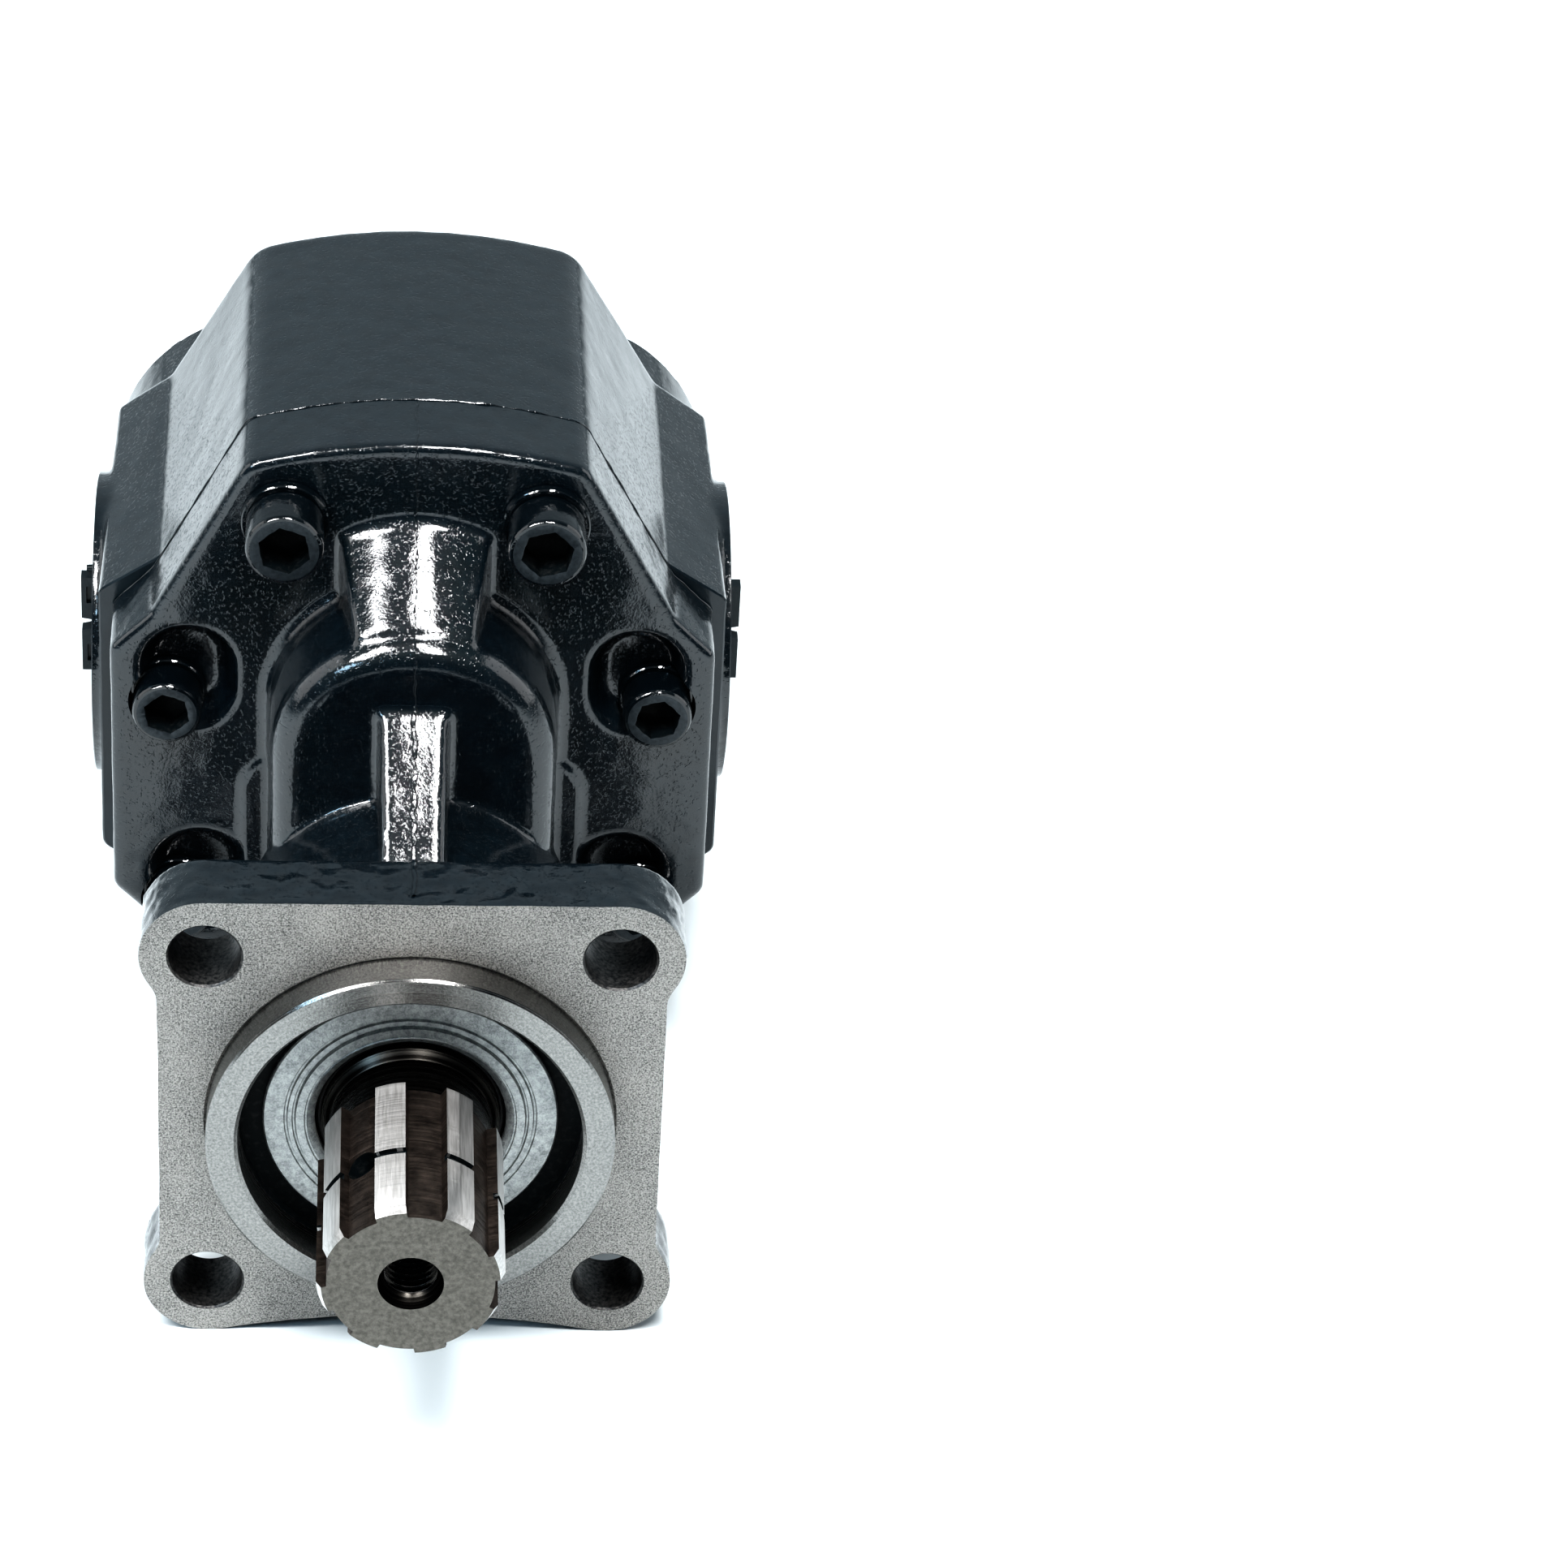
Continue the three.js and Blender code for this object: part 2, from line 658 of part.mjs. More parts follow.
const frontPlate = GEAR.from - GAP - PLATE.thick;
const rearPlate = GEAR.to + GAP;
const rearPlateBack = rearPlate + PLATE.thick;
add('front_thrust_plate', 'plate_aluminium', thrustPlate(frontPlate, frontPlate - 1, frontPlate + 2.3));
add('rear_thrust_plate', 'plate_aluminium', thrustPlate(rearPlate, rearPlateBack - 2.3, rearPlateBack + 1));
add('front_plate_seal', 'seal_rubber', sealTrack(frontPlate, frontPlate + 2, 0));
add('rear_plate_seal', 'seal_rubber', sealTrack(rearPlateBack - 2, rearPlateBack, 0));
add('housing_seal', 'seal_rubber', sealGroove(2.6, HOUSING.front, HOUSING.front + 2));

add('shaft_seal_outer', 'seal_rubber', lipSeal(SEAL.start));
add('shaft_seal_inner', 'seal_rubber', lipSeal(SEAL.start + SEAL.width));
add('seal_spring_outer', 'spring_steel', garterSpring(SEAL.start));
add('seal_spring_inner', 'spring_steel', garterSpring(SEAL.start + SEAL.width));
add('seal_circlip', 'spring_steel', sealCirclip());
add('seal_retainer', 'zinc_plate', sealRetainer());

for (const { name, x, z } of DOWEL_PLACES) {
  add(name, 'gear_steel', rod(DOWEL.radius, DOWEL.from, DOWEL.to, { x, z, sides: COARSE }));
}

for (const { name, x, z, size, pocket } of SCREW_PLACES) {
  const seat = seatOf(pocket);
  for (const [side, hand] of [[-1, 'left'], [1, 'right']]) {
    add(`cover_screw_${name}_${hand}`, 'black_screw', capScrew(size, seat, side * x, z));
    add(`cover_washer_${name}_${hand}`, 'black_screw', washer(size, seat, side * x, z));
  }
}

add('port_plug_left', 'plug_plastic', portPlug(-1));
add('port_plug_right', 'plug_plastic', portPlug(1));

pump.position.set(0, -(SHAFT.end + PAD.face) / 2, -FLOOR);

const group = new THREE.Group();
group.add(pump);

export default group;
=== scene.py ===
"""A black-painted cast-iron gear pump with a splined drive shaft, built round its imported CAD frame.

Pieces are modelled in millimetres in the pump's own frame (origin on the shaft axis at the flange's face,
+Y to the rear, +X right, +Z up) and moved into the row frame at the end. Castings are blanks with voxel-soft
edges that are then machined: faces, bores and holes are cut into them, as on the real part.
"""

import json
import math

import bmesh
import bpy
from mathutils import Matrix, Vector, noise


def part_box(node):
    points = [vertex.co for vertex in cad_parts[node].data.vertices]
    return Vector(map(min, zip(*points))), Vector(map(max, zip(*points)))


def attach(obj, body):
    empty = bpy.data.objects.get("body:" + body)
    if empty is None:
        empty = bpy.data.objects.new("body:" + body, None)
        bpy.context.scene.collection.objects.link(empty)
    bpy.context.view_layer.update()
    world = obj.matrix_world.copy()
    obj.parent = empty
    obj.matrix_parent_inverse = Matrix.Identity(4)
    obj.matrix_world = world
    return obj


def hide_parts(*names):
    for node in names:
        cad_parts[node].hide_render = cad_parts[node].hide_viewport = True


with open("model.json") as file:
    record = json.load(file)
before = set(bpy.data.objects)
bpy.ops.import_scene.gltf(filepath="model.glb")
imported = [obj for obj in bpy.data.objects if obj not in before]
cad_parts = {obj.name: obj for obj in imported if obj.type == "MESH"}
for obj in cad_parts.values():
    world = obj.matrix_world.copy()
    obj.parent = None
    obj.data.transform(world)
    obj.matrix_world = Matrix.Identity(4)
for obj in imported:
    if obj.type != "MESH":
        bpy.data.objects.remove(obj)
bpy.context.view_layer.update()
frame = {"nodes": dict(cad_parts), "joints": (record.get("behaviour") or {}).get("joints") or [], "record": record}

# ---------- the frame, in millimetres ----------

MM = 0.001
MOUNTS = {mount["name"]: mount for mount in frame["record"]["mounts"]}
JOINTS = {joint["name"]: joint for joint in frame["joints"]}
FLANGE_Y = MOUNTS["mounting_flange_face"]["pos_m"][1]
AXIS_Z = JOINTS["drive_shaft_spin"]["pos_m"][2]
CENTRES = (JOINTS["driven_gear_spin"]["pos_m"][2] - AXIS_Z) / MM
TO_ROW = Matrix.Translation((0, FLANGE_Y, AXIS_Z)) @ Matrix.Scale(MM, 4)
TO_PUMP = TO_ROW.inverted()


def pump_box(node):
    """A CAD node's lowest and highest corners, in the pump's frame."""
    low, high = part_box(node)
    return TO_PUMP @ low, TO_PUMP @ high


COVER_LOW, COVER_HIGH = pump_box("front_cover")
HOUSING_LOW, HOUSING_HIGH = pump_box("gear_housing")
FLOOR = COVER_LOW.z
COVER_REAR = COVER_HIGH.y
HOUSING_FRONT = HOUSING_LOW.y
PAD_FACE = HOUSING_HIGH.y
PORT_FACE = HOUSING_HIGH.x
PORT_Y = TO_PUMP.translation.y + MOUNTS["right_port_face"]["pos_m"][1] / MM
SHAFT_END = pump_box("drive_shaft")[0].y
MIDDLE = CENTRES / 2

# ---------- sizes that the frame doesn't give ----------

FLANGE = {"pitch": 40, "ear": 12.7, "half": 49.3, "fillet": 6, "arch": 8.7, "thick": 15.5, "hole": 7}
PILOT = {"radius": 40, "height": 7, "recess": 33.75, "floor": 3.2}
PLATE_FRONT = 89
COVER_OUTLINE = {"top": 101, "lug": 61.8, "lug_top": 52}
BLOCK = {"front": 64, "half": 29.1, "top": 40.5, "foot": -12, "edge": 6.2, "fillet": 3}
HOUSING_REAR = 184
PAD = {"radius": 36, "centre": 30, "height": 19.5, "dip": 6, "screw": 54.5}
BORES = {"gear": 26.7, "bearing": 21.3, "neck": 20.2}
SEAL = {"outer": 26, "start": 5.5, "width": 8}
SHAFT = {"radius": 18, "root": 16, "tooth": 6, "teeth": 8, "spline_end": -10.3, "ring_groove": -32.3}
GEAR = {"teeth": 12, "tip": 26.3, "root": 18.3, "front": 115, "rear": 177}
BIG_SCREW = {"head": 7.85, "height": 10, "shank": 5, "flats": 9.4, "mouth": 4.85}
SMALL_SCREW = {"head": 7.05, "height": 8, "shank": 4, "flats": 8.3, "mouth": 4.3}
SMALL_HEAD = 7.7  # a CAD head with a radius below this belongs to a small screw
EDGE_BREAK = 0.35  # chamfer round the machined faces
RIPPLE = (0.09, 9.0)  # height and size of a casting's waves
VOXEL = 0.8


# ---------- outlines ----------


def arc(cx, cz, radius, start, end, steps):
    """Points on an arc, angles in degrees."""
    angles = [math.radians(start + (end - start) * i / steps) for i in range(steps + 1)]
    return [(cx + radius * math.cos(a), cz + radius * math.sin(a)) for a in angles]


def rounded(corners, steps=8):
    """A closed outline through corners (x, z, radius), with an arc at each corner."""
    points = []
    for i, (x, z, radius) in enumerate(corners):
        here = Vector((x, z))
        before = (Vector(corners[i - 1][:2]) - here).normalized()
        after = (Vector(corners[(i + 1) % len(corners)][:2]) - here).normalized()
        half = math.acos(max(-1.0, min(1.0, before.dot(after)))) / 2
        reach = radius / math.tan(half)
        middle = here + (before + after).normalized() * (radius / math.sin(half))
        first = here + before * reach - middle
        sweep = first.angle_signed(here + after * reach - middle)
        for k in range(steps + 1):
            points.append(tuple(middle + Matrix.Rotation(-sweep * k / steps, 2) @ first))
    return points


def mirrored(right):
    """Corners from the top round the right side, followed by their mirror images on the left."""
    left = [(-x, z, radius) for x, z, radius in right if x != 0]
    return right + left[::-1]


def inset(points, distance):
    """An outline moved inwards (or outwards, if negative) square to its own edges."""
    count = len(points)
    area = sum(points[i - 1][0] * points[i][1] - points[i][0] * points[i - 1][1] for i in range(count))
    sign = 1 if area > 0 else -1
    shifted = []
    for i, here in enumerate(points):
        run = Vector(points[(i + 1) % count]) - Vector(points[i - 1])
        normal = Vector((-run.y, run.x)).normalized() * sign
        shifted.append(tuple(Vector(here) + normal * distance))
    return shifted


def arch_outline(half, height, foot):
    """A round top over straight sides."""
    return arc(0, height, half, 0, 180, 48) + [(-half, foot), (half, foot)]


def body_outline(top, lug, lug_top, rise=0.0, shoulder=5, crease=2.5):
    """The outline of the screw plate and the housing: a crowned top, sloping shoulders and side lugs."""
    return rounded(mirrored([
        (0, top + 3.8, 116),
        (34, top - 4.6, shoulder),
        (53.4 - rise / 1.85, 60.5 + rise, crease),
        (lug, lug_top + rise, crease),
        (lug, CENTRES - lug_top - rise, 2.5),
        (56, CENTRES - 58 - rise, 2.5),
        (38, FLOOR + 1.5, 4),
        (34, FLOOR, 4),
    ]))


# ---------- shapes: (corners, faces) ----------


def loft(sections, axis="Y"):
    """A closed solid through outlines [(level, points)], along Y (points x, z) or along X (points y, z)."""
    corners = []
    faces = []
    for level, points in sections:
        for a, b in points:
            corners.append((a, level, b) if axis == "Y" else (level, a, b))
    count = len(sections[0][1])
    for s in range(len(sections) - 1):
        for i in range(count):
            j = (i + 1) % count
            faces.append((s * count + i, s * count + j, (s + 1) * count + j, (s + 1) * count + i))
    faces.append(tuple(range(count)))
    faces.append(tuple((len(sections) - 1) * count + i for i in range(count)))
    return corners, faces


def lathe(profile, cx=0.0, cz=0.0, steps=96, ring=False):
    """A profile of (radius, y) turned about Y. It ends on the axis, or closes on itself when it is a ring."""
    corners = []
    rows = []
    for radius, y in profile:
        row = []
        for i in range(steps if radius > 0 else 1):
            angle = 2 * math.pi * i / steps
            row.append(len(corners))
            corners.append((cx + radius * math.cos(angle), y, cz + radius * math.sin(angle)))
        rows.append(row)
    faces = []
    for a, b in zip(rows, rows[1:] + ([rows[0]] if ring else [])):
        for i in range(steps):
            j = (i + 1) % steps
            quad = [a[i % len(a)], a[j % len(a)], b[j % len(b)], b[i % len(b)]]
            face = tuple(dict.fromkeys(quad))
            if len(face) > 2:
                faces.append(face)
    return corners, faces


def rod(radius, start, end, cx=0.0, cz=0.0):
    return lathe([(0, start), (radius, start), (radius, end), (0, end)], cx, cz)


def moved(shape, matrix):
    corners, faces = shape
    return [tuple(matrix @ Vector(c)) for c in corners], faces


def block(low, high):
    x0, y0, z0 = low
    x1, y1, z1 = high
    outline = [(x0, z0), (x1, z0), (x1, z1), (x0, z1)]
    return loft([(y0, outline), (y1, outline)])


def to_port(side):
    """Turns a shape made along Y outwards to the port on one side, -1 for left and 1 for right."""
    return Matrix.Translation((0, PORT_Y, MIDDLE)) @ Matrix.Rotation(-side * math.pi / 2, 4, "Z")


def add_object(name, data):
    thing = bpy.data.objects.new(name, data)
    bpy.context.scene.collection.objects.link(thing)
    return thing


def make(name, shapes, *materials):
    """One mesh object from closed shapes, with every face turned outwards."""
    bm = bmesh.new()
    for corners, faces in shapes:
        verts = [bm.verts.new(c) for c in corners]
        for face in faces:
            bm.faces.new([verts[i] for i in face])
    bmesh.ops.recalc_face_normals(bm, faces=bm.faces)
    mesh = bpy.data.meshes.new(name)
    bm.to_mesh(mesh)
    bm.free()
    for material in materials:
        mesh.materials.append(material)
    return add_object(name, mesh)


# ---------- mesh work ----------

CUT_REACH = 1e-4  # how near a corner has to be to a cutting plane to count as on it


def mesh_as_shown(thing):
    bpy.context.view_layer.update()
    return bpy.data.meshes.new_from_object(thing.evaluated_get(bpy.context.evaluated_depsgraph_get()))


def apply_modifiers(piece):
    mesh = mesh_as_shown(piece)
    piece.modifiers.clear()
    piece.data = mesh


def combine(piece, tool, operation="DIFFERENCE"):
    """Cuts, joins or intersects piece with tool, which is used up. New faces keep the tool's material."""
    step = piece.modifiers.new("combine", "BOOLEAN")
    step.operation = operation
    step.solver = "EXACT"
    step.material_mode = "TRANSFER"
    step.object = tool
    apply_modifiers(piece)
    bpy.data.objects.remove(tool)


def fuse(name, shapes, *materials):
    """One solid from overlapping closed shapes."""
    whole = make(name, shapes[:1], *materials)
    for shape in shapes[1:]:
        combine(whole, make("tool", [shape], *materials), "UNION")
    return whole


def soften(piece, voxel, rounds):
    """Turns overlapping blanks into one skin with small round edges, as a sand casting has."""
    skin = piece.modifiers.new("skin", "REMESH")
    skin.mode = "VOXEL"
    skin.voxel_size = voxel
    smooth = piece.modifiers.new("smooth", "SMOOTH")
    smooth.factor = 0.5
    smooth.iterations = rounds
    apply_modifiers(piece)


def ripple(piece, height, size, where=lambda co: True):
    """Moves a skin in and out a little, as the surface of a sand casting."""
    mesh = piece.data
    normals = [v.normal.copy() for v in mesh.vertices]
    for vertex, normal in zip(mesh.vertices, normals):
        if where(vertex.co):
            wave = noise.noise(vertex.co / size) + 0.5 * noise.noise(vertex.co / (size * 0.4))
            vertex.co += normal * (height * wave)


def face_off(piece, point, normal, chamfer=EDGE_BREAK):
    """Cuts everything beyond a plane away, closes the cut with a flat painted face and breaks its edge."""
    flat = material_index(piece, FLAT_PAINT)
    bm = bmesh.new()
    bm.from_mesh(piece.data)
    geometry = bm.verts[:] + bm.edges[:] + bm.faces[:]
    bmesh.ops.bisect_plane(bm, geom=geometry, dist=CUT_REACH, plane_co=point, plane_no=normal,
                           clear_outer=True)
    rims = [e for e in bm.edges if e.is_boundary]
    filled = bmesh.ops.holes_fill(bm, edges=rims, sides=0)["faces"]
    for face in filled:
        face.material_index = flat
    bmesh.ops.recalc_face_normals(bm, faces=filled)
    rings = []
    for face in filled:
        rings += bmesh.ops.inset_region(bm, faces=[face], thickness=chamfer, use_even_offset=False)["faces"]
    down = Vector(normal) * -chamfer
    for corner in {v for face in rings for v in face.verts}:
        if all(corner not in face.verts for face in filled):
            corner.co += down
    bm.to_mesh(piece.data)
    bm.free()


def join_meshes(target, *others):
    bm = bmesh.new()
    for piece in (target, *others):
        bm.from_mesh(piece.data)
    bm.to_mesh(target.data)
    bm.free()
    for piece in others:
        bpy.data.objects.remove(piece)


def break_edges(piece, width, angle):
    """Bevels every edge sharper than an angle in degrees."""
    bevel = piece.modifiers.new("edges", "BEVEL")
    bevel.width = width
    bevel.segments = 2
    bevel.limit_method = "ANGLE"
    bevel.angle_limit = math.radians(angle)
    apply_modifiers(piece)


def material_index(piece, material):
    """The index of a material on a piece, which gets it if it hasn't got it yet."""
    names = [m.name if m else "" for m in piece.data.materials]
    if material.name not in names:
        piece.data.materials.append(material)
        return len(piece.data.materials) - 1
    return names.index(material.name)


def finish_piece(piece, body, slot, *nodes, sharp=35):
    """Shades a piece, moves it into the row frame and lets it ride on its body in place of its CAD nodes."""
    mesh = piece.data
    mesh.transform(TO_ROW)
    mesh.polygons.foreach_set("use_smooth", [True] * len(mesh.polygons))
    mesh.set_sharp_from_angle(angle=math.radians(sharp))
    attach(piece, body)
    if nodes:
        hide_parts(*nodes)


# ---------- materials ----------


class Shader:
    """A node material in object coordinates: small helpers that keep each recipe short."""

    def __init__(self, name, **values):
        self.material = bpy.data.materials.new(name)
        self.material.use_nodes = True
        self.tree = self.material.node_tree
        self.surface = self.tree.nodes["Principled BSDF"]
        self.place = self.tree.nodes.new("ShaderNodeTexCoord").outputs["Object"]
        for socket, value in values.items():
            self.surface.inputs[socket.replace("_", " ")].default_value = value

    def node(self, kind, inputs=None, **settings):
        node = self.tree.nodes.new(kind)
        for key, value in settings.items():
            setattr(node, key, value)
        for key, value in (inputs or {}).items():
            if hasattr(value, "is_output"):
                self.tree.links.new(value, node.inputs[key])
            else:
                node.inputs[key].default_value = value
        return node

    def noise(self, scale, detail=3.0, roughness=0.6, vector=None):
        inputs = {"Vector": vector or self.place, "Scale": scale, "Detail": detail, "Roughness": roughness}
        return self.node("ShaderNodeTexNoise", inputs).outputs["Fac"]

    def ramp(self, factor, *stops):
        node = self.node("ShaderNodeValToRGB", {"Fac": factor})
        ramp = node.color_ramp
        for i, (position, value) in enumerate(stops):
            element = ramp.elements[i] if i < 2 else ramp.elements.new(position)
            element.position = position
            element.color = (*value, 1) if isinstance(value, tuple) else (value, value, value, 1)
        return node.outputs["Color"]

    def math(self, operation, a, b=0.0):
        return self.node("ShaderNodeMath", {0: a, 1: b}, operation=operation).outputs[0]

    def mix(self, a, a_share, b, b_share):
        """A weighted sum of two outputs."""
        return self.math("ADD", self.math("MULTIPLY", a, a_share), self.math("MULTIPLY", b, b_share))

    def set(self, socket, output):
        self.tree.links.new(output, self.surface.inputs[socket])

    def across(self):
        """Place as X, Y and the height over the shaft axis."""
        split = self.node("ShaderNodeSeparateXYZ", {0: self.place})
        return split.outputs["X"], split.outputs["Y"], self.math("SUBTRACT", split.outputs["Z"], AXIS_Z)

    def radial(self):
        """Distance from the shaft axis and place along it, for marks left by a lathe."""
        x, y, height = self.across()
        squares = self.math("ADD", self.math("MULTIPLY", x, x), self.math("MULTIPLY", height, height))
        return self.node("ShaderNodeCombineXYZ", {"X": self.math("SQRT", squares), "Y": y}).outputs[0]

    def round_the_axis(self):
        """The direction of a lathe's marks: round the shaft axis."""
        x, _, height = self.across()
        back = self.math("MULTIPLY", x, -1.0)
        return self.node("ShaderNodeCombineXYZ", {"X": height, "Z": back}).outputs[0]

    def bump(self, *layers):
        """Layers of (height output, distance in metres), one over another."""
        normal = None
        for height, distance in layers:
            inputs = {"Height": height, "Distance": distance, "Strength": 1.0}
            if normal is not None:
                inputs["Normal"] = normal
            normal = self.node("ShaderNodeBump", inputs).outputs["Normal"]
        self.set("Normal", normal)
        self.set("Coat Normal", normal)


DEEP_BLACK = (0.002, 0.006, 0.009)


def cast_paint():
    shader = Shader("black_paint_on_casting", Roughness=0.45, Specular_IOR_Level=0.12, Coat_Weight=1.0,
                    Coat_Roughness=0.06, Coat_IOR=1.6)
    lumps = shader.noise(340, 2)
    peel = shader.noise(1900, 3)
    pits = shader.ramp(shader.noise(1200, 2), (0.33, 0.0), (0.42, 1.0))
    shader.set("Base Color", shader.ramp(lumps, (0.3, (0.0006, 0.003, 0.005)), (0.7, DEEP_BLACK)))
    shader.bump((lumps, 0.00004), (pits, 0.00003), (peel, 0.00002))
    return shader.material


def smooth_paint():
    shader = Shader("black_paint_on_machined_face", Roughness=0.4, Specular_IOR_Level=0.1,
                    Coat_Weight=0.8, Coat_Roughness=0.1)
    swirl = shader.noise(38, 3)
    fine = shader.noise(1500, 3)
    shader.set("Base Color", shader.ramp(swirl, (0.42, DEEP_BLACK), (0.6, (0.009, 0.015, 0.019))))
    shader.bump((swirl, 0.00012), (fine, 0.00003))
    return shader.material


def milled_iron():
    shader = Shader("milled_iron", Metallic=0.85)
    grain = shader.noise(2700, 2, 0.8)
    fine = shader.noise(6200, 2, 0.7)
    patches = shader.noise(90, 3)
    tone = shader.math("ADD", shader.mix(grain, 0.7, fine, 0.3), shader.math("MULTIPLY", patches, 0.12))
    shader.set("Base Color", shader.ramp(tone, (0.43, (0.06, 0.06, 0.059)), (0.64, (0.38, 0.365, 0.345))))
    shader.set("Roughness", shader.ramp(patches, (0.3, 0.34), (0.7, 0.44)))
    shader.bump((grain, 0.0002), (fine, 0.00006))
    return shader.material


def turned_iron():
    shader = Shader("turned_iron", Metallic=1.0, Anisotropic=0.8, Anisotropic_Rotation=0.25)
    rings = shader.noise(3600, 2, 0.7, shader.radial())
    grain = shader.noise(2100, 3)
    shader.set("Base Color", shader.ramp(grain, (0.3, (0.15, 0.15, 0.146)), (0.7, (0.30, 0.295, 0.285))))
    shader.set("Roughness", shader.ramp(rings, (0.3, 0.2), (0.7, 0.28)))
    shader.set("Tangent", shader.round_the_axis())
    shader.bump((rings, 0.000012), (grain, 0.000025))
    return shader.material


def shaft_crown():
    shader = Shader("ground_steel", Metallic=1.0, Anisotropic=0.7, Anisotropic_Rotation=0.25)
    along = shader.node("ShaderNodeVectorMath", {0: shader.place, 1: (1, 0.06, 1)}, operation="MULTIPLY")
    streaks = shader.noise(2400, 2, 0.6, along.outputs[0])
    rings = shader.noise(2600, 2, 0.6, shader.radial())
    shader.set("Base Color", shader.ramp(streaks, (0.3, (0.36, 0.35, 0.34)), (0.7, (0.54, 0.53, 0.52))))
    shader.set("Roughness", shader.ramp(rings, (0.3, 0.36), (0.7, 0.46)))
    shader.set("Tangent", shader.round_the_axis())
    shader.bump((rings, 0.000005))
    return shader.material


def shaft_groove():
    shader = Shader("hobbed_steel", Metallic=0.9)
    split = shader.node("ShaderNodeSeparateXYZ", {0: shader.place})
    along = shader.node("ShaderNodeCombineXYZ", {"Y": split.outputs["Y"]}).outputs[0]
    feed = shader.noise(1100, 1, 0.5, along)
    stain = shader.noise(300, 4)
    shader.set("Base Color", shader.ramp(stain, (0.3, (0.030, 0.024, 0.021)), (0.72, (0.11, 0.088, 0.075))))
    shader.set("Roughness", shader.ramp(feed, (0.3, 0.3), (0.7, 0.5)))
    shader.bump((feed, 0.00012), (stain, 0.00003))
    return shader.material


def shaft_end():
    shader = Shader("faced_steel", Metallic=0.9)
    rings = shader.noise(3000, 2, 0.6, shader.radial())
    stain = shader.noise(900, 5, 0.7)
    shader.set("Base Color", shader.ramp(stain, (0.35, (0.075, 0.07, 0.062)), (0.65, (0.15, 0.14, 0.125))))
    shader.set("Roughness", shader.ramp(stain, (0.3, 0.36), (0.7, 0.48)))
    shader.bump((rings, 0.00005), (stain, 0.00004))
    return shader.material


def zinc():
    shader = Shader("zinc_plate", Metallic=0.8)
    bloom = shader.noise(700, 4)
    specks = shader.noise(2600, 3, 0.75)
    tone = shader.mix(bloom, 0.5, specks, 0.5)
    shader.set("Base Color", shader.ramp(tone, (0.38, (0.19, 0.2, 0.2)), (0.62, (0.44, 0.45, 0.445))))
    shader.set("Roughness", shader.ramp(specks, (0.35, 0.34), (0.7, 0.52)))
    shader.bump((specks, 0.00009))
    return shader.material


def grained(name, noise, bump, colour=(), rough=(), turned=False, **values):
    """A material with one noise (scale, detail, roughness) behind its bump, its colour and its roughness."""
    shader = Shader(name, **values)
    grain = shader.noise(*noise, vector=shader.radial() if turned else None)
    for socket, stops in (("Base Color", colour), ("Roughness", rough)):
        if stops:
            shader.set(socket, shader.ramp(grain, *stops))
    shader.bump((grain, bump))
    return shader.material


def plain_metal(name, dark, light, rough):
    return grained(name, (900, 4), 0.00003, ((0.3, dark), (0.7, light)), ((0.3, rough), (0.7, rough + 0.12)),
                   Metallic=1.0)


PAINT = cast_paint()
FLAT_PAINT = smooth_paint()
MILLED = milled_iron()
TURNED = turned_iron()
# Near-black painted shade for the insides of bores, ports, grooves, the shaft's notch and the screw sockets: the
# metal there is drawn dark where shade falls.
RECESS_SHADE = grained("painted_shade_in_recesses", (700, 4), 0.00008,
                 ((0.5, (0.002, 0.004, 0.005)), (0.8, (0.016, 0.017, 0.017))), Roughness=0.5,
                 Specular_IOR_Level=0.1)
HOLE = grained("drilled_iron", (1300, 4), 0.0001,
               ((0.35, (0.012, 0.014, 0.016)), (0.75, (0.13, 0.125, 0.12))), Metallic=0.8, Roughness=0.4)
CROWN = shaft_crown()
GROOVE = shaft_groove()
END_FACE = shaft_end()
# A darker copy of the shaft's turned steel: painted shade for the stretches behind the spline and in the seals,
# and inside the tapped hole.
SHADED_STEEL = grained("turned_steel_with_painted_shade", (1800, 2, 0.6), 0.00001,
               ((0.4, (0.012, 0.011, 0.010)), (0.7, (0.07, 0.066, 0.06))), ((0.3, 0.2), (0.7, 0.32)),
               turned=True, Metallic=1.0)
ZINC = zinc()
SCREW = grained("black_paint_on_screw", (520, 3), 0.00012, Base_Color=(0.001, 0.003, 0.0045, 1),
                Roughness=0.4, Specular_IOR_Level=0.05, Coat_Weight=1.0, Coat_Roughness=0.03, Coat_IOR=1.6)
# A lighter, less glossy and partly metallic paint for the flat face round each socket.
SCREW_FACE = grained("lighter_paint_on_screw_face", (900, 4), 0.00004,
                     ((0.3, (0.008, 0.012, 0.015)), (0.7, (0.026, 0.033, 0.038))), Metallic=0.3,
                     Roughness=0.36)
PLASTIC = grained("black_plastic", (1400, 3), 0.00003, rough=((0.3, 0.34), (0.7, 0.46)),
                  Base_Color=(0.004, 0.009, 0.012, 1), Specular_IOR_Level=0.4)
RUBBER = grained("black_rubber", (1200, 4), 0.00003, rough=((0.3, 0.5), (0.7, 0.7)),
                 Base_Color=(0.012, 0.012, 0.012, 1))
BRONZE = plain_metal("bearing_bronze", (0.40, 0.25, 0.12), (0.58, 0.40, 0.20), 0.3)
ALUMINIUM = plain_metal("plate_aluminium", (0.60, 0.61, 0.62), (0.76, 0.77, 0.78), 0.38)
STEEL = plain_metal("ground_gear_steel", (0.42, 0.42, 0.41), (0.58, 0.58, 0.57), 0.24)
SPRING = plain_metal("spring_steel", (0.30, 0.30, 0.30), (0.46, 0.46, 0.45), 0.28)


# ---------- front cover ----------


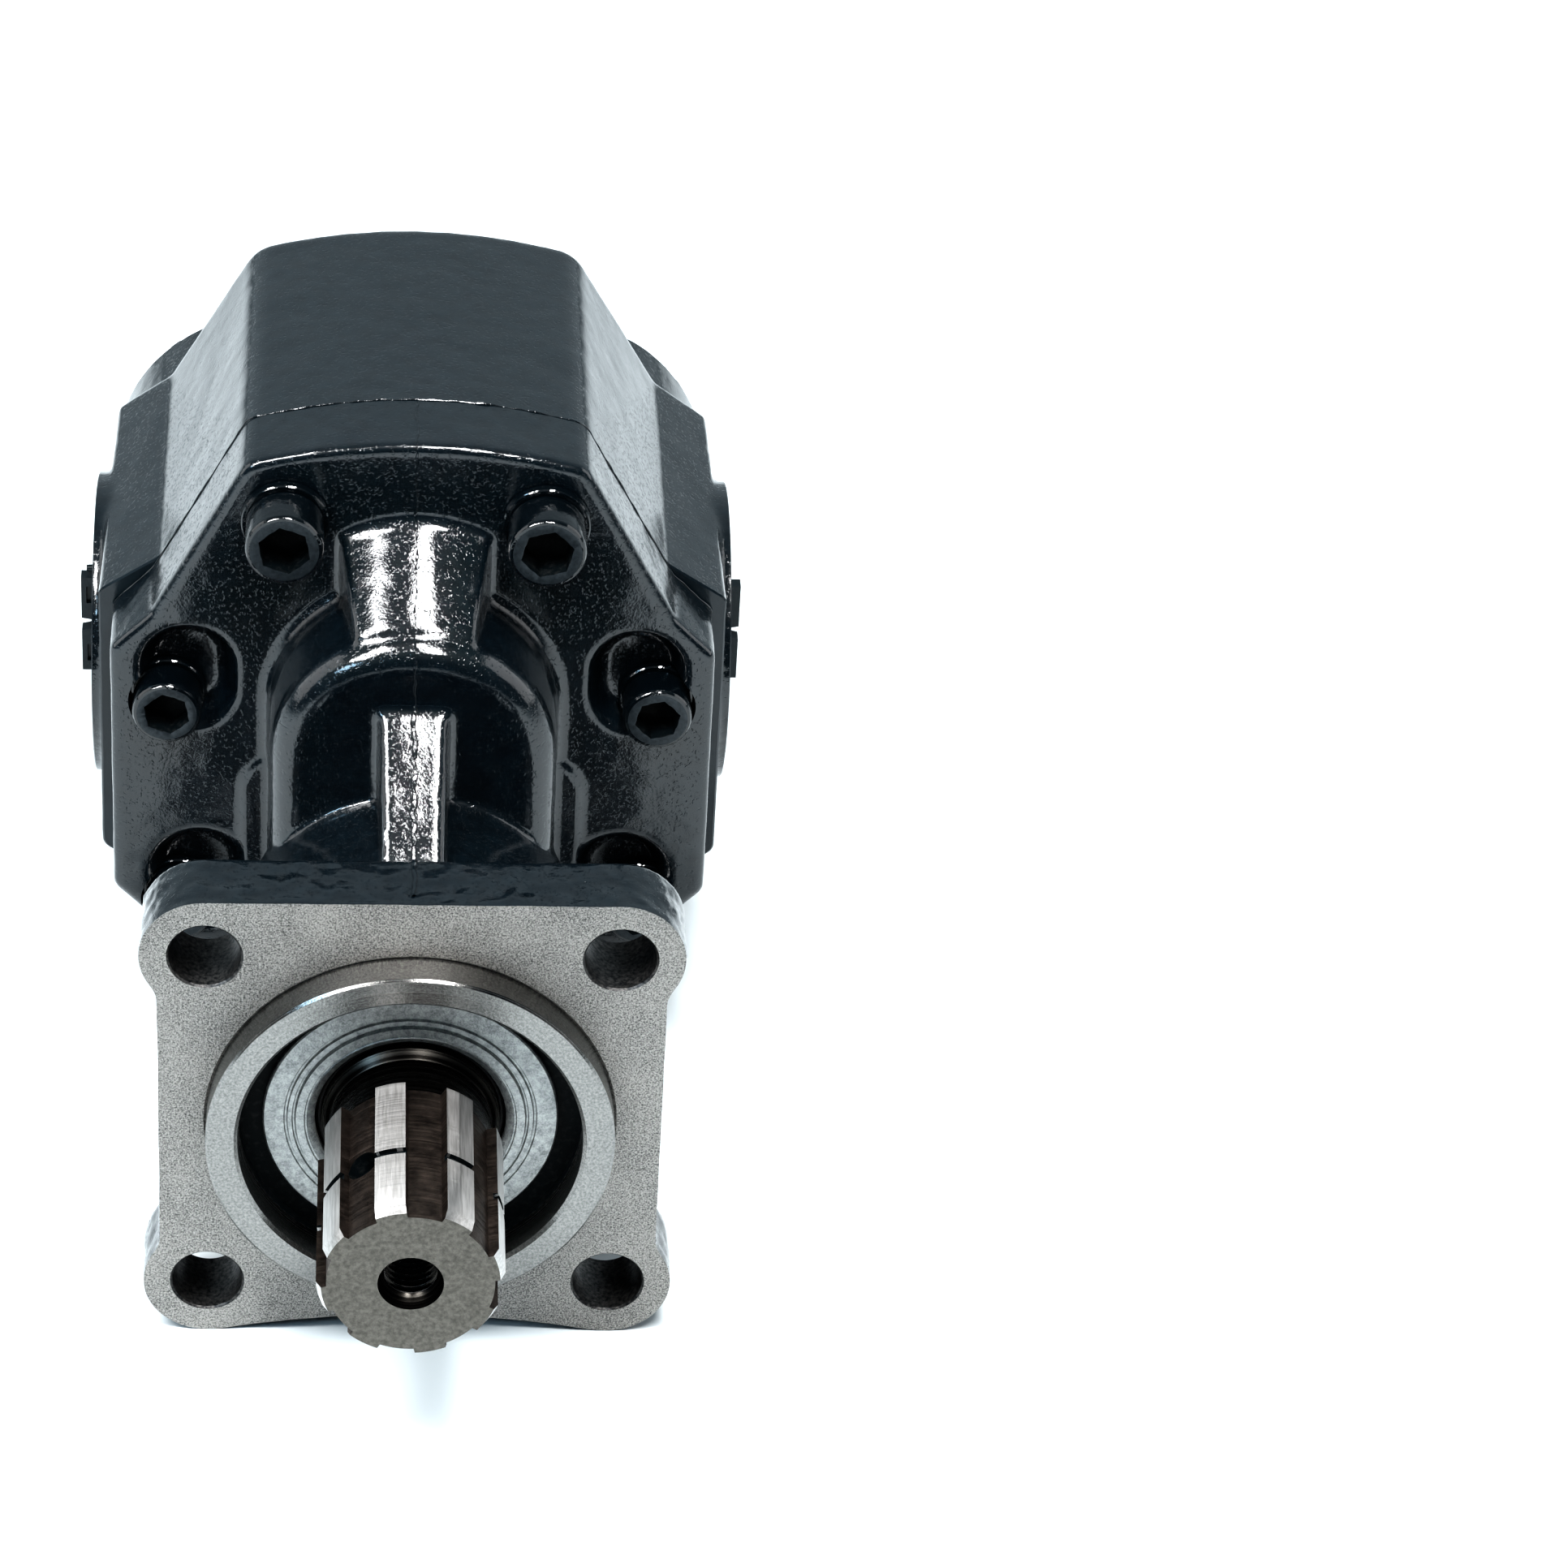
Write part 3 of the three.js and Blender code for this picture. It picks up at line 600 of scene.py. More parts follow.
def flange_outline():
    """A square with a round ear at each corner: straight on top, drawn in at the sides, arched below."""
    pitch, ear, fillet, arch = FLANGE["pitch"], FLANGE["ear"], FLANGE["fillet"], FLANGE["arch"]
    side = FLANGE["half"] + fillet
    down = math.sqrt((ear + fillet) ** 2 - (side - pitch) ** 2)
    lean = math.degrees(math.atan2(down, side - pitch))
    bow = (pitch ** 2 + arch ** 2 - ear ** 2) / (2 * (ear - arch))
    tilt = math.degrees(math.atan2(pitch, bow + arch))
    under = -pitch - arch - bow
    return (arc(side, pitch - down, fillet, 180, 180 - lean, 6)
            + arc(pitch, pitch, ear, -lean, 90, 14)
            + arc(-pitch, pitch, ear, 90, 180 + lean, 14)
            + arc(-side, pitch - down, fillet, lean, 0, 6)
            + arc(-side, down - pitch, fillet, 0, -lean, 6)
            + arc(-pitch, -pitch, ear, 180 - lean, 270 + tilt, 14)[1:]
            + arc(0, under, bow, 90 + tilt, 90 - tilt, 12)[1:]
            + arc(pitch, -pitch, ear, 270 - tilt, 360 + lean, 14)[1:]
            + arc(side, down - pitch, fillet, 180 + lean, 180, 6)[1:])


def nose_sections():
    """The arched block: a rounded front edge, straight sides and a fillet at the screw plate."""
    arch = arch_outline(BLOCK["half"], BLOCK["top"], BLOCK["foot"])
    front, edge, fillet = BLOCK["front"], BLOCK["edge"], BLOCK["fillet"]
    turns = [math.radians(15 * i) for i in range(7)]
    sections = [(front + edge * (1 - math.cos(t)), inset(arch, edge * (1 - math.sin(t)))) for t in turns]
    for t in turns:
        grow = fillet * (1 - math.cos(t))
        sections.append((PLATE_FRONT - fillet * (1 - math.sin(t)), inset(arch, -grow)))
    sections.append((PLATE_FRONT + 3, inset(arch, -fillet)))
    return sections


def hood_sections():
    """The sloping boss over the front bearing of the driven gear: a crowned top with narrow round edges."""
    crown_radius, foot = 30, 50
    rows = ((68.4, 11.4, 68.8), (69.4, 12.0, 70.6), (88.0, 14.9, 83.6), (88.8, 15.6, 84.9), (89.6, 16, 85.4),
            (93, 16, 85.4))
    sections = []
    for y, half, top in rows:
        lean = math.degrees(math.asin(half / crown_radius))
        crown = arc(0, top - crown_radius, crown_radius, 90 - lean, 90 + lean, 16)
        sections.append((y, crown + [(-half, foot), (half, foot)]))
    return sections


def rib_sections():
    """The web in the corner between the neck and the arched block, which flares where it meets the block."""
    foot = 24
    rows = ((35, 6.1, 31), (37, 6.2, 33.8), (50, 6.4, 44.1), (60.5, 6.6, 52.6), (62.8, 7.0, 54.4),
            (64.6, 8.6, 55.8), (68, 8.8, 56))
    sections = []
    for y, half, top in rows:
        outline = [(half, foot, 0.5), (half, top, 0.8), (-half, top, 0.8), (-half, foot, 0.5)]
        sections.append((y, rounded(outline)))
    return sections


def screw_nodes():
    return sorted(name for name in frame["nodes"] if name.startswith("cover_screw_"))


def screw_place(node):
    """(x, z, top of the head, head radius) of a screw, in the pump's frame."""
    low, high = pump_box(node)
    return (low.x + high.x) / 2, (low.z + high.z) / 2, low.y, (high.x - low.x) / 2


def small_screws():
    """(x, z) of the four smaller screws."""
    places = [screw_place(node) for node in screw_nodes()]
    return [(x, z) for x, z, _, head in places if head < SMALL_HEAD]


def screw_bore(node, start, end, tip=0):
    """The hole for a screw's shank, with a little room round it."""
    x, z, _, head = screw_place(node)
    radius = head * 0.62 + 0.5
    return lathe([(0, start), (radius, start), (radius, end), (0, end + tip)], x, z, 40)


def cast_pocket(x, z):
    """The upright slot over a small screw, nearer the middle than the screw. It opens out at the front."""
    radius, inwards, low_end = 9, 4.3, 3.4
    high_end, flare = (8.4, 1) if z > 0 else (7.5, 2)
    centre = x - math.copysign(inwards, x)
    wall = arc(centre, z + high_end, radius, 0, 180, 32) + arc(centre, z + low_end, radius, 180, 360, 32)
    levels = ((80, -2), (88.8, -1), (90, -0.4), (91.2, 0), (93, 0.7), (94.5, 1.4), (95, 2.6))
    return loft([(y, inset(wall, step * (flare if step < 0 else 1))) for y, step in levels])


def screw_plate():
    """The plate that the screws clamp, with its cast pockets and the raised band behind the neck."""
    outline = body_outline(**COVER_OUTLINE)
    half, corner, top = 35.2, 24, 32
    band = rounded([(half, -60, 1), (half, 22, 9), (corner, top, 9), (-corner, top, 9), (-half, 22, 9),
                    (-half, -60, 1)])
    plate = make("plate", [loft([
        (PLATE_FRONT, inset(outline, 0.8)),
        (PLATE_FRONT + 0.9, outline),
        (COVER_REAR + 3, outline),
    ])])
    for x, z in small_screws():
        combine(plate, make("pocket", [cast_pocket(x, z)]))
    raised = make("band", [loft([
        (PLATE_FRONT - 1.0, inset(band, 0.5)),
        (PLATE_FRONT - 0.5, band),
        (PLATE_FRONT + 2, band),
    ])])
    combine(raised, make("floor", [block((-70, 80, FLOOR), (70, 95, 60))]), "INTERSECT")
    combine(plate, raised, "UNION")
    return plate


def parting_line(piece, keep):
    """The thin flash where the two halves of the mould met: stretches of the skin's loops at X = 0."""
    bm = bmesh.new()
    bm.from_mesh(piece.data)
    geometry = bm.verts[:] + bm.edges[:] + bm.faces[:]
    cut = bmesh.ops.bisect_plane(bm, geom=geometry, dist=CUT_REACH, plane_co=(0, 0, 0), plane_no=(1, 0, 0))
    edges = {e for e in cut["geom_cut"] if isinstance(e, bmesh.types.BMEdge)}
    bm.edges.index_update()
    runs = []
    while edges:
        edge = min(edges, key=lambda e: (e.verts[0].co.z, e.index))
        run = [edge.verts[0]]
        while edge:
            edges.discard(edge)
            run.append(edge.other_vert(run[-1]))
            edge = next((e for e in run[-1].link_edges if e in edges), None)
        runs.append([v.co.copy() for v in run])
    bm.free()
    stretches = []
    for run in runs:
        stretch = []
        for co in run + [None]:
            if co is not None and keep(co):
                on_rib = co.y < BLOCK["front"] + 1 and co.z < 56
                wobble = 0.5 * noise.noise(co / 3.0) + 0.3 * noise.noise(co / 1.1)
                width = (1.7 if on_rib else 0.75) + 0.9 * noise.noise(co / 2.2)
                stretch.append((Vector((wobble, co.y, co.z)), width))
            else:
                if len(stretch) > 4:
                    stretches.append(stretch)
                stretch = []
    return bead("flash", stretches, 0.3)


def bead(name, stretches, radius):
    """Thin round lines along (place, width) points, as left by a mould joint or a seam."""
    curve = bpy.data.curves.new(name, "CURVE")
    curve.dimensions = "3D"
    curve.bevel_depth = radius
    curve.bevel_resolution = 1
    for stretch in stretches:
        spline = curve.splines.new("POLY")
        spline.points.add(len(stretch) - 1)
        for point, (place, width) in zip(spline.points, stretch):
            point.co = (*place, 1)
            point.radius = width
    line = add_object(name, curve)
    mesh = mesh_as_shown(line)
    bpy.data.objects.remove(line)
    return add_object(name, mesh)


def seam_line():
    """The bead of paint where the cover meets the housing, over the top and down the shoulders."""
    lowest, spacing = 50, 0.8
    points = []
    corners = [(x, z) for x, z in body_outline(**COVER_OUTLINE) if z > lowest]
    corners.sort(key=lambda corner: corner[0])
    for (x0, z0), (x1, z1) in zip(corners, corners[1:]):
        steps = max(1, int(math.hypot(x1 - x0, z1 - z0) / spacing))
        for i in range(steps):
            part = i / steps
            place = Vector((x0 + (x1 - x0) * part, COVER_REAR - 0.2, z0 + (z1 - z0) * part))
            shift = 0.15 * noise.noise(place / 2.0)
            points.append((place + Vector((0, shift, 0.05 + shift)), 0.8 + 0.8 * noise.noise(place / 3.0)))
    return bead("seam", [points], 0.24)


def front_cover():
    thick, hole = FLANGE["thick"], FLANGE["hole"]
    radius, height, recess, floor = (PILOT[k] for k in ("radius", "height", "recess", "floor"))
    stock = 1.6  # metal left in front for the machined faces
    flange = flange_outline()
    casting = make("front_cover_casting", [
        loft([(-stock, flange), (thick - 0.7, flange), (thick, inset(flange, 0.7))]),
        rod(radius + 1.4, -height - stock, 3),
        lathe([(0, 6), (41.5, 6), (41.5, thick), (38, thick + 0.6), (35.8, thick + 2.6), (34.6, thick + 6),
               (34.2, thick + 12), (33.8, 70), (0, 70)]),
        loft(nose_sections()),
        loft(hood_sections()),
        loft(rib_sections()),
    ])
    join_meshes(casting, screw_plate())
    soften(casting, VOXEL, 4)
    ripple(casting, *RIPPLE)
    ripple(casting, 0.3, 3.2, lambda co: 1 < co.y < thick - 1 and max(abs(co.x), co.z) > 46)
    casting.data.materials.append(PAINT)
    flash = parting_line(casting, lambda co: co.z > 30 and 2 < co.y < COVER_REAR - 0.5)
    face_off(casting, (0, COVER_REAR, 0), (0, 1, 0))

    far = 95  # outside the whole flange
    faced = make("faced", [lathe([
        (0, -30), (far, -30), (far, 0), (radius + 0.5, 0), (radius, 0.4), (radius, -0.5),
        (radius, 0.5 - height), (radius - 0.5, -height), (recess + 0.7, -height), (recess, 0.7 - height),
        (recess, 1), (0, 1),
    ], steps=160)], MILLED, TURNED)
    combine(casting, faced)
    room = SEAL["outer"] + 0.2
    seals = SEAL["start"] + 2 * SEAL["width"] + 1.5
    neck, bearing, bearing_start = BORES["neck"], BORES["bearing"], 78
    # The bores are cut with the near-black painted shade, so their walls come out dark where shade falls.
    inside = fuse("inside", [
        lathe([(0, 0.5), (recess, 0.5), (recess, floor), (room, floor), (room, seals), (neck, seals),
               (neck, bearing_start), (bearing, bearing_start), (bearing, COVER_REAR + 1),
               (0, COVER_REAR + 1)]),
        rod(bearing, bearing_start, COVER_REAR + 1, 0, CENTRES),
    ], RECESS_SHADE)
    combine(casting, inside)
    spots = [lathe([(0, 80), (8, 80), (8, 94.4), (7.6, 95), (0, 95)], x, z, 64) for x, z in small_screws()]
    combine(casting, make("spots", spots, PAINT))
    holes = []
    for x in (-FLANGE["pitch"], FLANGE["pitch"]):
        for z in (-FLANGE["pitch"], FLANGE["pitch"]):
            holes.append(lathe([(0, -1), (hole + 0.4, -1), (hole + 0.4, 0), (hole, 0.4), (hole, 18), (0, 18)],
                               x, z, 64))
    holes += [screw_bore(node, 86, COVER_REAR + 1) for node in screw_nodes()]
    combine(casting, make("holes", holes, HOLE))
    mark_turned(casting, radius, recess)
    join_meshes(casting, flash, seam_line())
    finish_piece(casting, "housing", "black_casting", "front_cover")


def mark_turned(piece, radius, recess):
    """Gives the pilot the look of turned metal."""
    milled, turned = material_index(piece, MILLED), material_index(piece, TURNED)
    for polygon in piece.data.polygons:
        centre = polygon.center
        reach = math.hypot(centre.x, centre.z)
        if polygon.material_index == milled and recess - 1 < reach < radius + 0.6 and centre.y < -0.01:
            polygon.material_index = turned


# ---------- gear housing ----------


def pad_outline():
    """The rear pad: round ends and a top edge that dips in the middle, below the dome."""
    radius, centre, z, dip = (PAD[k] for k in ("radius", "centre", "height", "dip"))
    steps = 24
    top = []
    for i in range(1, steps):
        x = centre - 2 * centre * i / steps
        top.append((x, z + radius - dip * (0.5 + 0.5 * math.cos(math.pi * x / centre))))
    return arc(centre, z, radius, -90, 90, 32) + top + arc(-centre, z, radius, 90, 270, 32)


def port_boss(side):
    """A low round boss on one side of the housing."""
    return moved(rod(32, 40, PORT_FACE + 2), to_port(side))


def port_cutter(side):
    """The port itself: a passage to the gears and the wider bore that its thread is cut in."""
    passage, bore, mouth, step = 12, 15.2, 16.2, 42
    profile = [(0, 6), (passage, 6), (passage, step), (bore, step), (bore, PORT_FACE - 1), (mouth, PORT_FACE),
               (mouth, PORT_FACE + 3), (0, PORT_FACE + 3)]
    return moved(lathe(profile), to_port(side))


def flush(points):
    """Keeps a foot of the rear pad inside the sides of the housing."""
    reach = 64.4
    return [(max(-reach, min(reach, x)), z) for x, z in points]


def gear_housing():
    front = body_outline(99.9, 64.9, 52, 2.4, 9, 1)
    rear = body_outline(98.6, 63.8, 52, 2.0, 9, 1)
    pad = pad_outline()
    foot = HOUSING_REAR
    casting = make("gear_housing_casting", [
        loft([(HOUSING_FRONT - 3, front), (foot - 2, rear), (foot - 0.6, inset(rear, 0.7)),
              (foot, inset(rear, 1.8))]),
        port_boss(-1),
        port_boss(1),
        loft([(foot - 4, flush(inset(pad, -3))), (foot - 1, flush(inset(pad, -2.6))),
              (foot + 1.6, inset(pad, -0.9)), (foot + 4, inset(pad, -0.2)), (PAD_FACE + 3, pad)]),
        lathe([(0, foot - 6), (39, foot - 6), (38.6, foot), (36.6, foot + 1.4), (35.4, foot + 4), (33, 209),
               (32.4, 211.4), (27, 217.6), (25.6, 218.5), (0, 218.5)], 0, CENTRES),
        lathe([(0, foot - 6), (38, foot - 6), (37.6, foot), (35.8, foot + 1.6), (35, foot + 4), (34, 215.4),
               (33, 216.8), (31.6, 217.4), (0, 217.4)]),
    ])
    soften(casting, VOXEL, 4)
    ripple(casting, *RIPPLE)
    casting.data.materials.append(PAINT)
    face_off(casting, (0, HOUSING_FRONT, 0), (0, -1, 0))
    face_off(casting, (0, PAD_FACE, 0), (0, 1, 0))
    for side in (1, -1):
        face_off(casting, (side * PORT_FACE, 0, 0), (side, 0, 0))

    start, bore_end = 100, foot + 29
    gear, bearing = BORES["gear"], BORES["bearing"]
    bore = [(0, start), (gear, start), (gear, foot), (bearing, foot), (bearing, bore_end), (0, bore_end)]
    # Bores and ports are cut with the near-black painted shade.
    inside = fuse("inside", [lathe(bore), lathe(bore, 0, CENTRES), port_cutter(-1), port_cutter(1)], RECESS_SHADE)
    combine(casting, inside)
    drill, pitch = 4.25, 0.75
    thread = [(drill + 0.4 * (i % 2), PAD_FACE - 18 + pitch * i) for i in range(22)]
    tapped = ([(0, PAD_FACE - 22), (drill, PAD_FACE - 20)] + thread
              + [(4.65, PAD_FACE - 1.4), (5.6, PAD_FACE - 0.4), (5.6, PAD_FACE + 1), (0, PAD_FACE + 1)])
    holes = [lathe(tapped, side * PAD["screw"], PAD["height"], 48) for side in (-1, 1)]
    holes += [screw_bore(node, start, 130, tip=2) for node in screw_nodes()]
    combine(casting, make("holes", holes, HOLE))
    finish_piece(casting, "housing", "black_casting", "gear_housing")


# ---------- drive shaft ----------


def spline_outline(root, outer, width, teeth, turn):
    """Straight-sided teeth of one width between two circles, with a tooth at turn degrees from the top."""
    points = []
    for tooth in range(teeth):
        centre = 90 + turn + 360 * tooth / teeth
        tip = math.degrees(math.asin(width / 2 / outer))
        foot = math.degrees(math.asin(width / 2 / root))
        points += arc(0, 0, root, centre - 180 / teeth, centre - foot, 6)[1:]
        points += arc(0, 0, outer, centre - tip, centre + tip, 6)
        points += arc(0, 0, root, centre + foot, centre + 180 / teeth, 6)
    return points


def gear_outline(teeth, tip, root, phase):
    """Involute teeth on the pitch circle that the two axes share."""
    pressure = math.radians(25)
    base = CENTRES / 2 * math.cos(pressure)
    slack = 0.014  # taken off each flank, as an angle

    def involute(angle):
        return math.tan(angle) - angle

    def half(radius):
        angle = math.acos(min(1.0, base / max(radius, base)))
        return math.degrees(math.pi / (2 * teeth) - slack + involute(pressure) - involute(angle))

    rise = [root + (tip - root) * i / 9 for i in range(10)]
    points = []
    for tooth in range(teeth):
        centre = phase + 360 * tooth / teeth
        for radius in rise:
            points += arc(0, 0, radius, centre - half(radius), centre, 1)[:1]
        for radius in reversed(rise):
            points += arc(0, 0, radius, centre + half(radius), centre, 1)[:1]
    return points


def drive_shaft():
    radius, root, spline_end, groove_y = (SHAFT[k] for k in ("radius", "root", "spline_end", "ring_groove"))
    outline = spline_outline(root, radius + 1, SHAFT["tooth"], SHAFT["teeth"], 13.5)
    shaft = make("splined_drive_shaft", [loft([(SHAFT_END, outline), (spline_end, outline)])], GROOVE)
    blank = make("blank", [lathe([(0, SHAFT_END), (radius - 1, SHAFT_END), (radius, SHAFT_END + 2),
                                  (radius, spline_end), (0, spline_end)], steps=192)], CROWN)
    combine(shaft, blank, "INTERSECT")
    # The ring groove is cut with the near-black painted shade.
    ring = lathe([(17.1, groove_y), (19, groove_y), (19, groove_y + 1.7), (17.1, groove_y + 1.7)], ring=True,
                 steps=192)
    combine(shaft, make("ring", [ring], RECESS_SHADE))
    core = lathe([(0, SHAFT_END + 5), (15.9, SHAFT_END + 5), (15.9, -0.4), (16.3, 0), (17.5, 1.2),
                  (17.5, 73.4), (18.2, 74), (18.2, 208), (17.2, 209), (0, 209)], steps=128)
    combine(shaft, make("core", [core], CROWN), "UNION")
    # The notch is cut with the near-black painted shade too.
    notch_turn = Matrix.Rotation(math.radians(-36), 4, "Y") @ Matrix.Rotation(math.pi / 2, 4, "X")
    notch_z = -groove_y - 2.4
    inner, outer = (arc(0, notch_z, size, 0, 348.75, 31) for size in (3.0, 3.9))
    notch = moved(loft([(12.5, inner), (22, outer)]), notch_turn)
    combine(shaft, make("notch", [notch], RECESS_SHADE))
    teeth = gear_outline(GEAR["teeth"], GEAR["tip"], GEAR["root"], 90)
    combine(shaft, make("gear", [loft([(GEAR["front"], teeth), (GEAR["rear"], teeth)])], STEEL), "UNION")
    drill, pitch = 5.1, 1.75
    turns = [SHAFT_END + 3.4 + pitch * i for i in range(12)]
    wave = ((0, 0), (0, 0.3), (0.8, 0.9), (0.8, 1.3))
    thread = [(drill + deep, y + step) for y in turns for deep, step in wave]
    hole = lathe([(0, SHAFT_END - 1), (7.0, SHAFT_END - 1), (6.3, SHAFT_END), (6.0, SHAFT_END + 2.2)] + thread
                 + [(drill, SHAFT_END + 26), (0, SHAFT_END + 29)], steps=64)
    # The tapped hole is cut with the darker steel: painted shade inside it.
    combine(shaft, make("hole", [hole], SHADED_STEEL))
    break_edges(shaft, 0.3, 38)
    mark_shaft(shaft, spline_end)
    finish_piece(shaft, "drive_shaft", "shaft_steel", "drive_shaft", sharp=30)


def mark_shaft(shaft, spline_end):
    """Gives each stretch of the shaft its own finish, with painted shade as darker steel behind the spline, in the
    seals and in the tapped hole.
    """
    end, neck, crown, groove = (material_index(shaft, m) for m in (END_FACE, SHADED_STEEL, CROWN, GROOVE))
    for polygon in shaft.data.polygons:
        centre = polygon.center
        reach = math.hypot(centre.x, centre.z)
        if centre.y < SHAFT_END + 0.1 and reach > 6:  # the end face
            polygon.material_index = end
        elif centre.y < SHAFT_END + 2.4 and reach > 15.9 and polygon.normal.y < -0.3:  # its chamfer
            polygon.material_index = crown
        # Thread crests keep the bright steel; the rest of the tapped hole keeps the darker steel of the painted
        # shade.
        elif centre.y < SHAFT_END + 24 and 5.0 < reach < 5.2:  # crests of the thread
            polygon.material_index = crown
        # Behind the spline and in the seals the steel is darker: painted shade.
        elif spline_end - 0.3 < centre.y < 0.2 and reach < 17.2:  # behind the spline
            polygon.material_index = neck
        elif 0 < centre.y < 74 and reach < 18.3:  # the part in the seals
            polygon.material_index = neck
        elif centre.y < spline_end and reach > 17.6 and polygon.material_index != groove:  # the teeth
            polygon.material_index = crown


# ---------- seal and retainer ----------


def seal_retainer():
    back = pump_box("seal_retainer")[1].y
    steps = ((29, 0), (29, 1.2), (28.7, 1.5), (24.9, 1.55), (24.7, 1.25), (24.3, 1.25), (24.1, 1.8),
             (23.3, 1.85), (23.1, 1.45), (22.8, 1.45), (22.5, 2.25), (20.9, 2.3), (20.7, 1.95), (20.4, 1.95),
             (20.2, 2.2), (19.2, 1.7), (18.8, 1.3), (18.8, 0))
    profile = [(radius, back - height) for radius, height in steps]
    ring = make("seal_retainer_ring", [lathe(profile, steps=160, ring=True)], ZINC)
    finish_piece(ring, "housing", "zinc_plate", "seal_retainer", sharp=28)


def shaft_seal():
    outer, start = SEAL["outer"], SEAL["start"]
    end = start + SEAL["width"] - 0.3
    lip = 17.65
    profile = [(outer, start), (outer, end), (24, end), (24, start + 2), (21.2, start + 2), (19.4, end - 2.6),
               (18.6, end), (lip, end - 1.6), (18.6, start + 1.4), (18.1, start - 0.6), (lip, start - 2.6),
               (18.1, start - 2.8), (18.75, start - 1.4), (19.4, start)]
    ring = make("shaft_seal_with_dust_lip", [lathe(profile, steps=128, ring=True)], RUBBER)
    finish_piece(ring, "housing", "seal_rubber", "shaft_seal_outer", sharp=40)


# ---------- screws, washers and plugs ----------


def cap_screw(node):
    """A socket head screw with a small flat rim round its hexagon."""
    x, z, top, cad_head = screw_place(node)
    sizes = BIG_SCREW if cad_head > SMALL_HEAD else SMALL_SCREW
    head, height, shank, flats, mouth = (sizes[k] for k in ("head", "height", "shank", "flats", "mouth"))
    under = top + height
    body = make(node.replace("cover_screw", "cap_screw"), [lathe([
        (0, top), (head - 0.9, top), (head - 0.4, top + 0.12), (head - 0.1, top + 0.45), (head, top + 1),
        (head, under - 0.4), (head - 0.4, under), (shank, under), (shank, 128), (0, 128),
    ], steps=72)], SCREW)
    spin = 15 if x > 0 else 40
    hexagon = arc(0, 0, flats / math.sqrt(3), spin, spin + 300, 5)
    depth = height * 0.64
    drill = flats * 0.22
    # The socket is cut with the near-black painted shade, so its inside stays dark.
    socket = fuse("socket", [
        loft([(top - 1, hexagon), (top + depth, hexagon)]),
        lathe([(0, top - 1), (mouth + 1, top - 1), (mouth, top - 0.001), (flats * 0.5, top + 0.8),
               (0, top + 0.8)], steps=48),
        lathe([(0, top + depth - 0.5), (drill, top + depth - 0.5), (drill, top + depth),
               (0, top + depth + 1)], steps=48),
    ], RECESS_SHADE)
    combine(body, socket)
    break_edges(body, 0.16, 40)
    face = material_index(body, SCREW_FACE)
    for polygon in body.data.polygons:
        centre = polygon.center
        if abs(centre.y - top) < 0.04 and math.hypot(centre.x, centre.z) > mouth - 0.6:
            polygon.material_index = face
    body.data.transform(Matrix.Translation((x, 0, z)))
    finish_piece(body, "housing", "black_screw", node, sharp=34)


def lock_washer(node):
    """A split spring washer: one turn of square wire whose ends stand a little apart."""
    low, high = pump_box(node)
    x, z = (low.x + high.x) / 2, (low.z + high.z) / 2
    outer = (high.x - low.x) / 2 - 0.25
    inner = outer * 0.6
    bevel = 0.28
    half_gap, start, lead, steps = 9, -60, 0.2, 72
    corners = []
    for i in range(steps + 1):
        part = i / steps
        angle = math.radians(half_gap + start + (360 - 2 * half_gap) * part)
        shift = lead * (part - 0.5)
        y0 = low.y + bevel + shift
        y1 = high.y - 0.1 + shift
        section = [(inner, y0), (inner + bevel, y0 - bevel), (outer - bevel, y0 - bevel), (outer, y0),
                   (outer, y1 - bevel), (outer - bevel, y1), (inner + bevel, y1), (inner, y1 - bevel)]
        for radius, y in section:
            corners.append((x + radius * math.cos(angle), y, z + radius * math.sin(angle)))
    _, faces = loft([(0, section)] * (steps + 1))
    washer = make(node.replace("cover_washer", "lock_washer"), [(corners, faces)], SCREW)
    finish_piece(washer, "housing", "black_screw", node, sharp=34)


def port_plug(node, side):
    """A moulded shipping plug: a hollow stem, a thin rim, a notched grip bar and the stub of its sprue."""
    stem, rim, rim_proud, bar = 14.6, 12, 0.8, 11.7
    face = PORT_FACE
    proud = abs(pump_box(node)[1 if side > 0 else 0].x) - face
    body = fuse(node.replace("port_plug", "shipping_plug"), [
        lathe([(0, face - 12), (stem - 0.8, face - 12), (stem, face - 11), (stem, face - 0.6),
               (stem - 0.4, face), (0, face)]),
        rod(rim, face - 1, face + rim_proud),
        block((-1.5, face - 1, -bar), (1.5, face + proud, bar)),
        moved(lathe([(0, 0), (0.9, 0), (0.7, proud * 0.8), (0, proud * 0.8)], steps=24),
              Matrix.Translation((0, face - 0.5, side * -13.2))),
    ], PLASTIC)
    notch = [(face + rim_proud, -1.0), (face + 6, -2.4), (face + 6, 2.0), (face + rim_proud, 1.0)]
    tools = [
        lathe([(0, face - 14), (stem - 2.6, face - 14), (stem - 3, face - 2), (0, face - 2)], steps=64),
        loft([(-20, notch), (20, notch)], "X"),
        block((-3, face + 1.4, 5.2), (-0.6, face + 2.4, 9.4)),
        block((-3, face + 1.4, -9.4), (-0.6, face + 2.4, -5.2)),
    ]
    for tool in tools:
        combine(body, make("tool", [tool], PLASTIC))
    break_edges(body, 0.25, 40)
    body.data.transform(to_port(side))
    finish_piece(body, "housing", "plug_plastic", node, sharp=34)


# ---------- CAD nodes that keep their own shape ----------


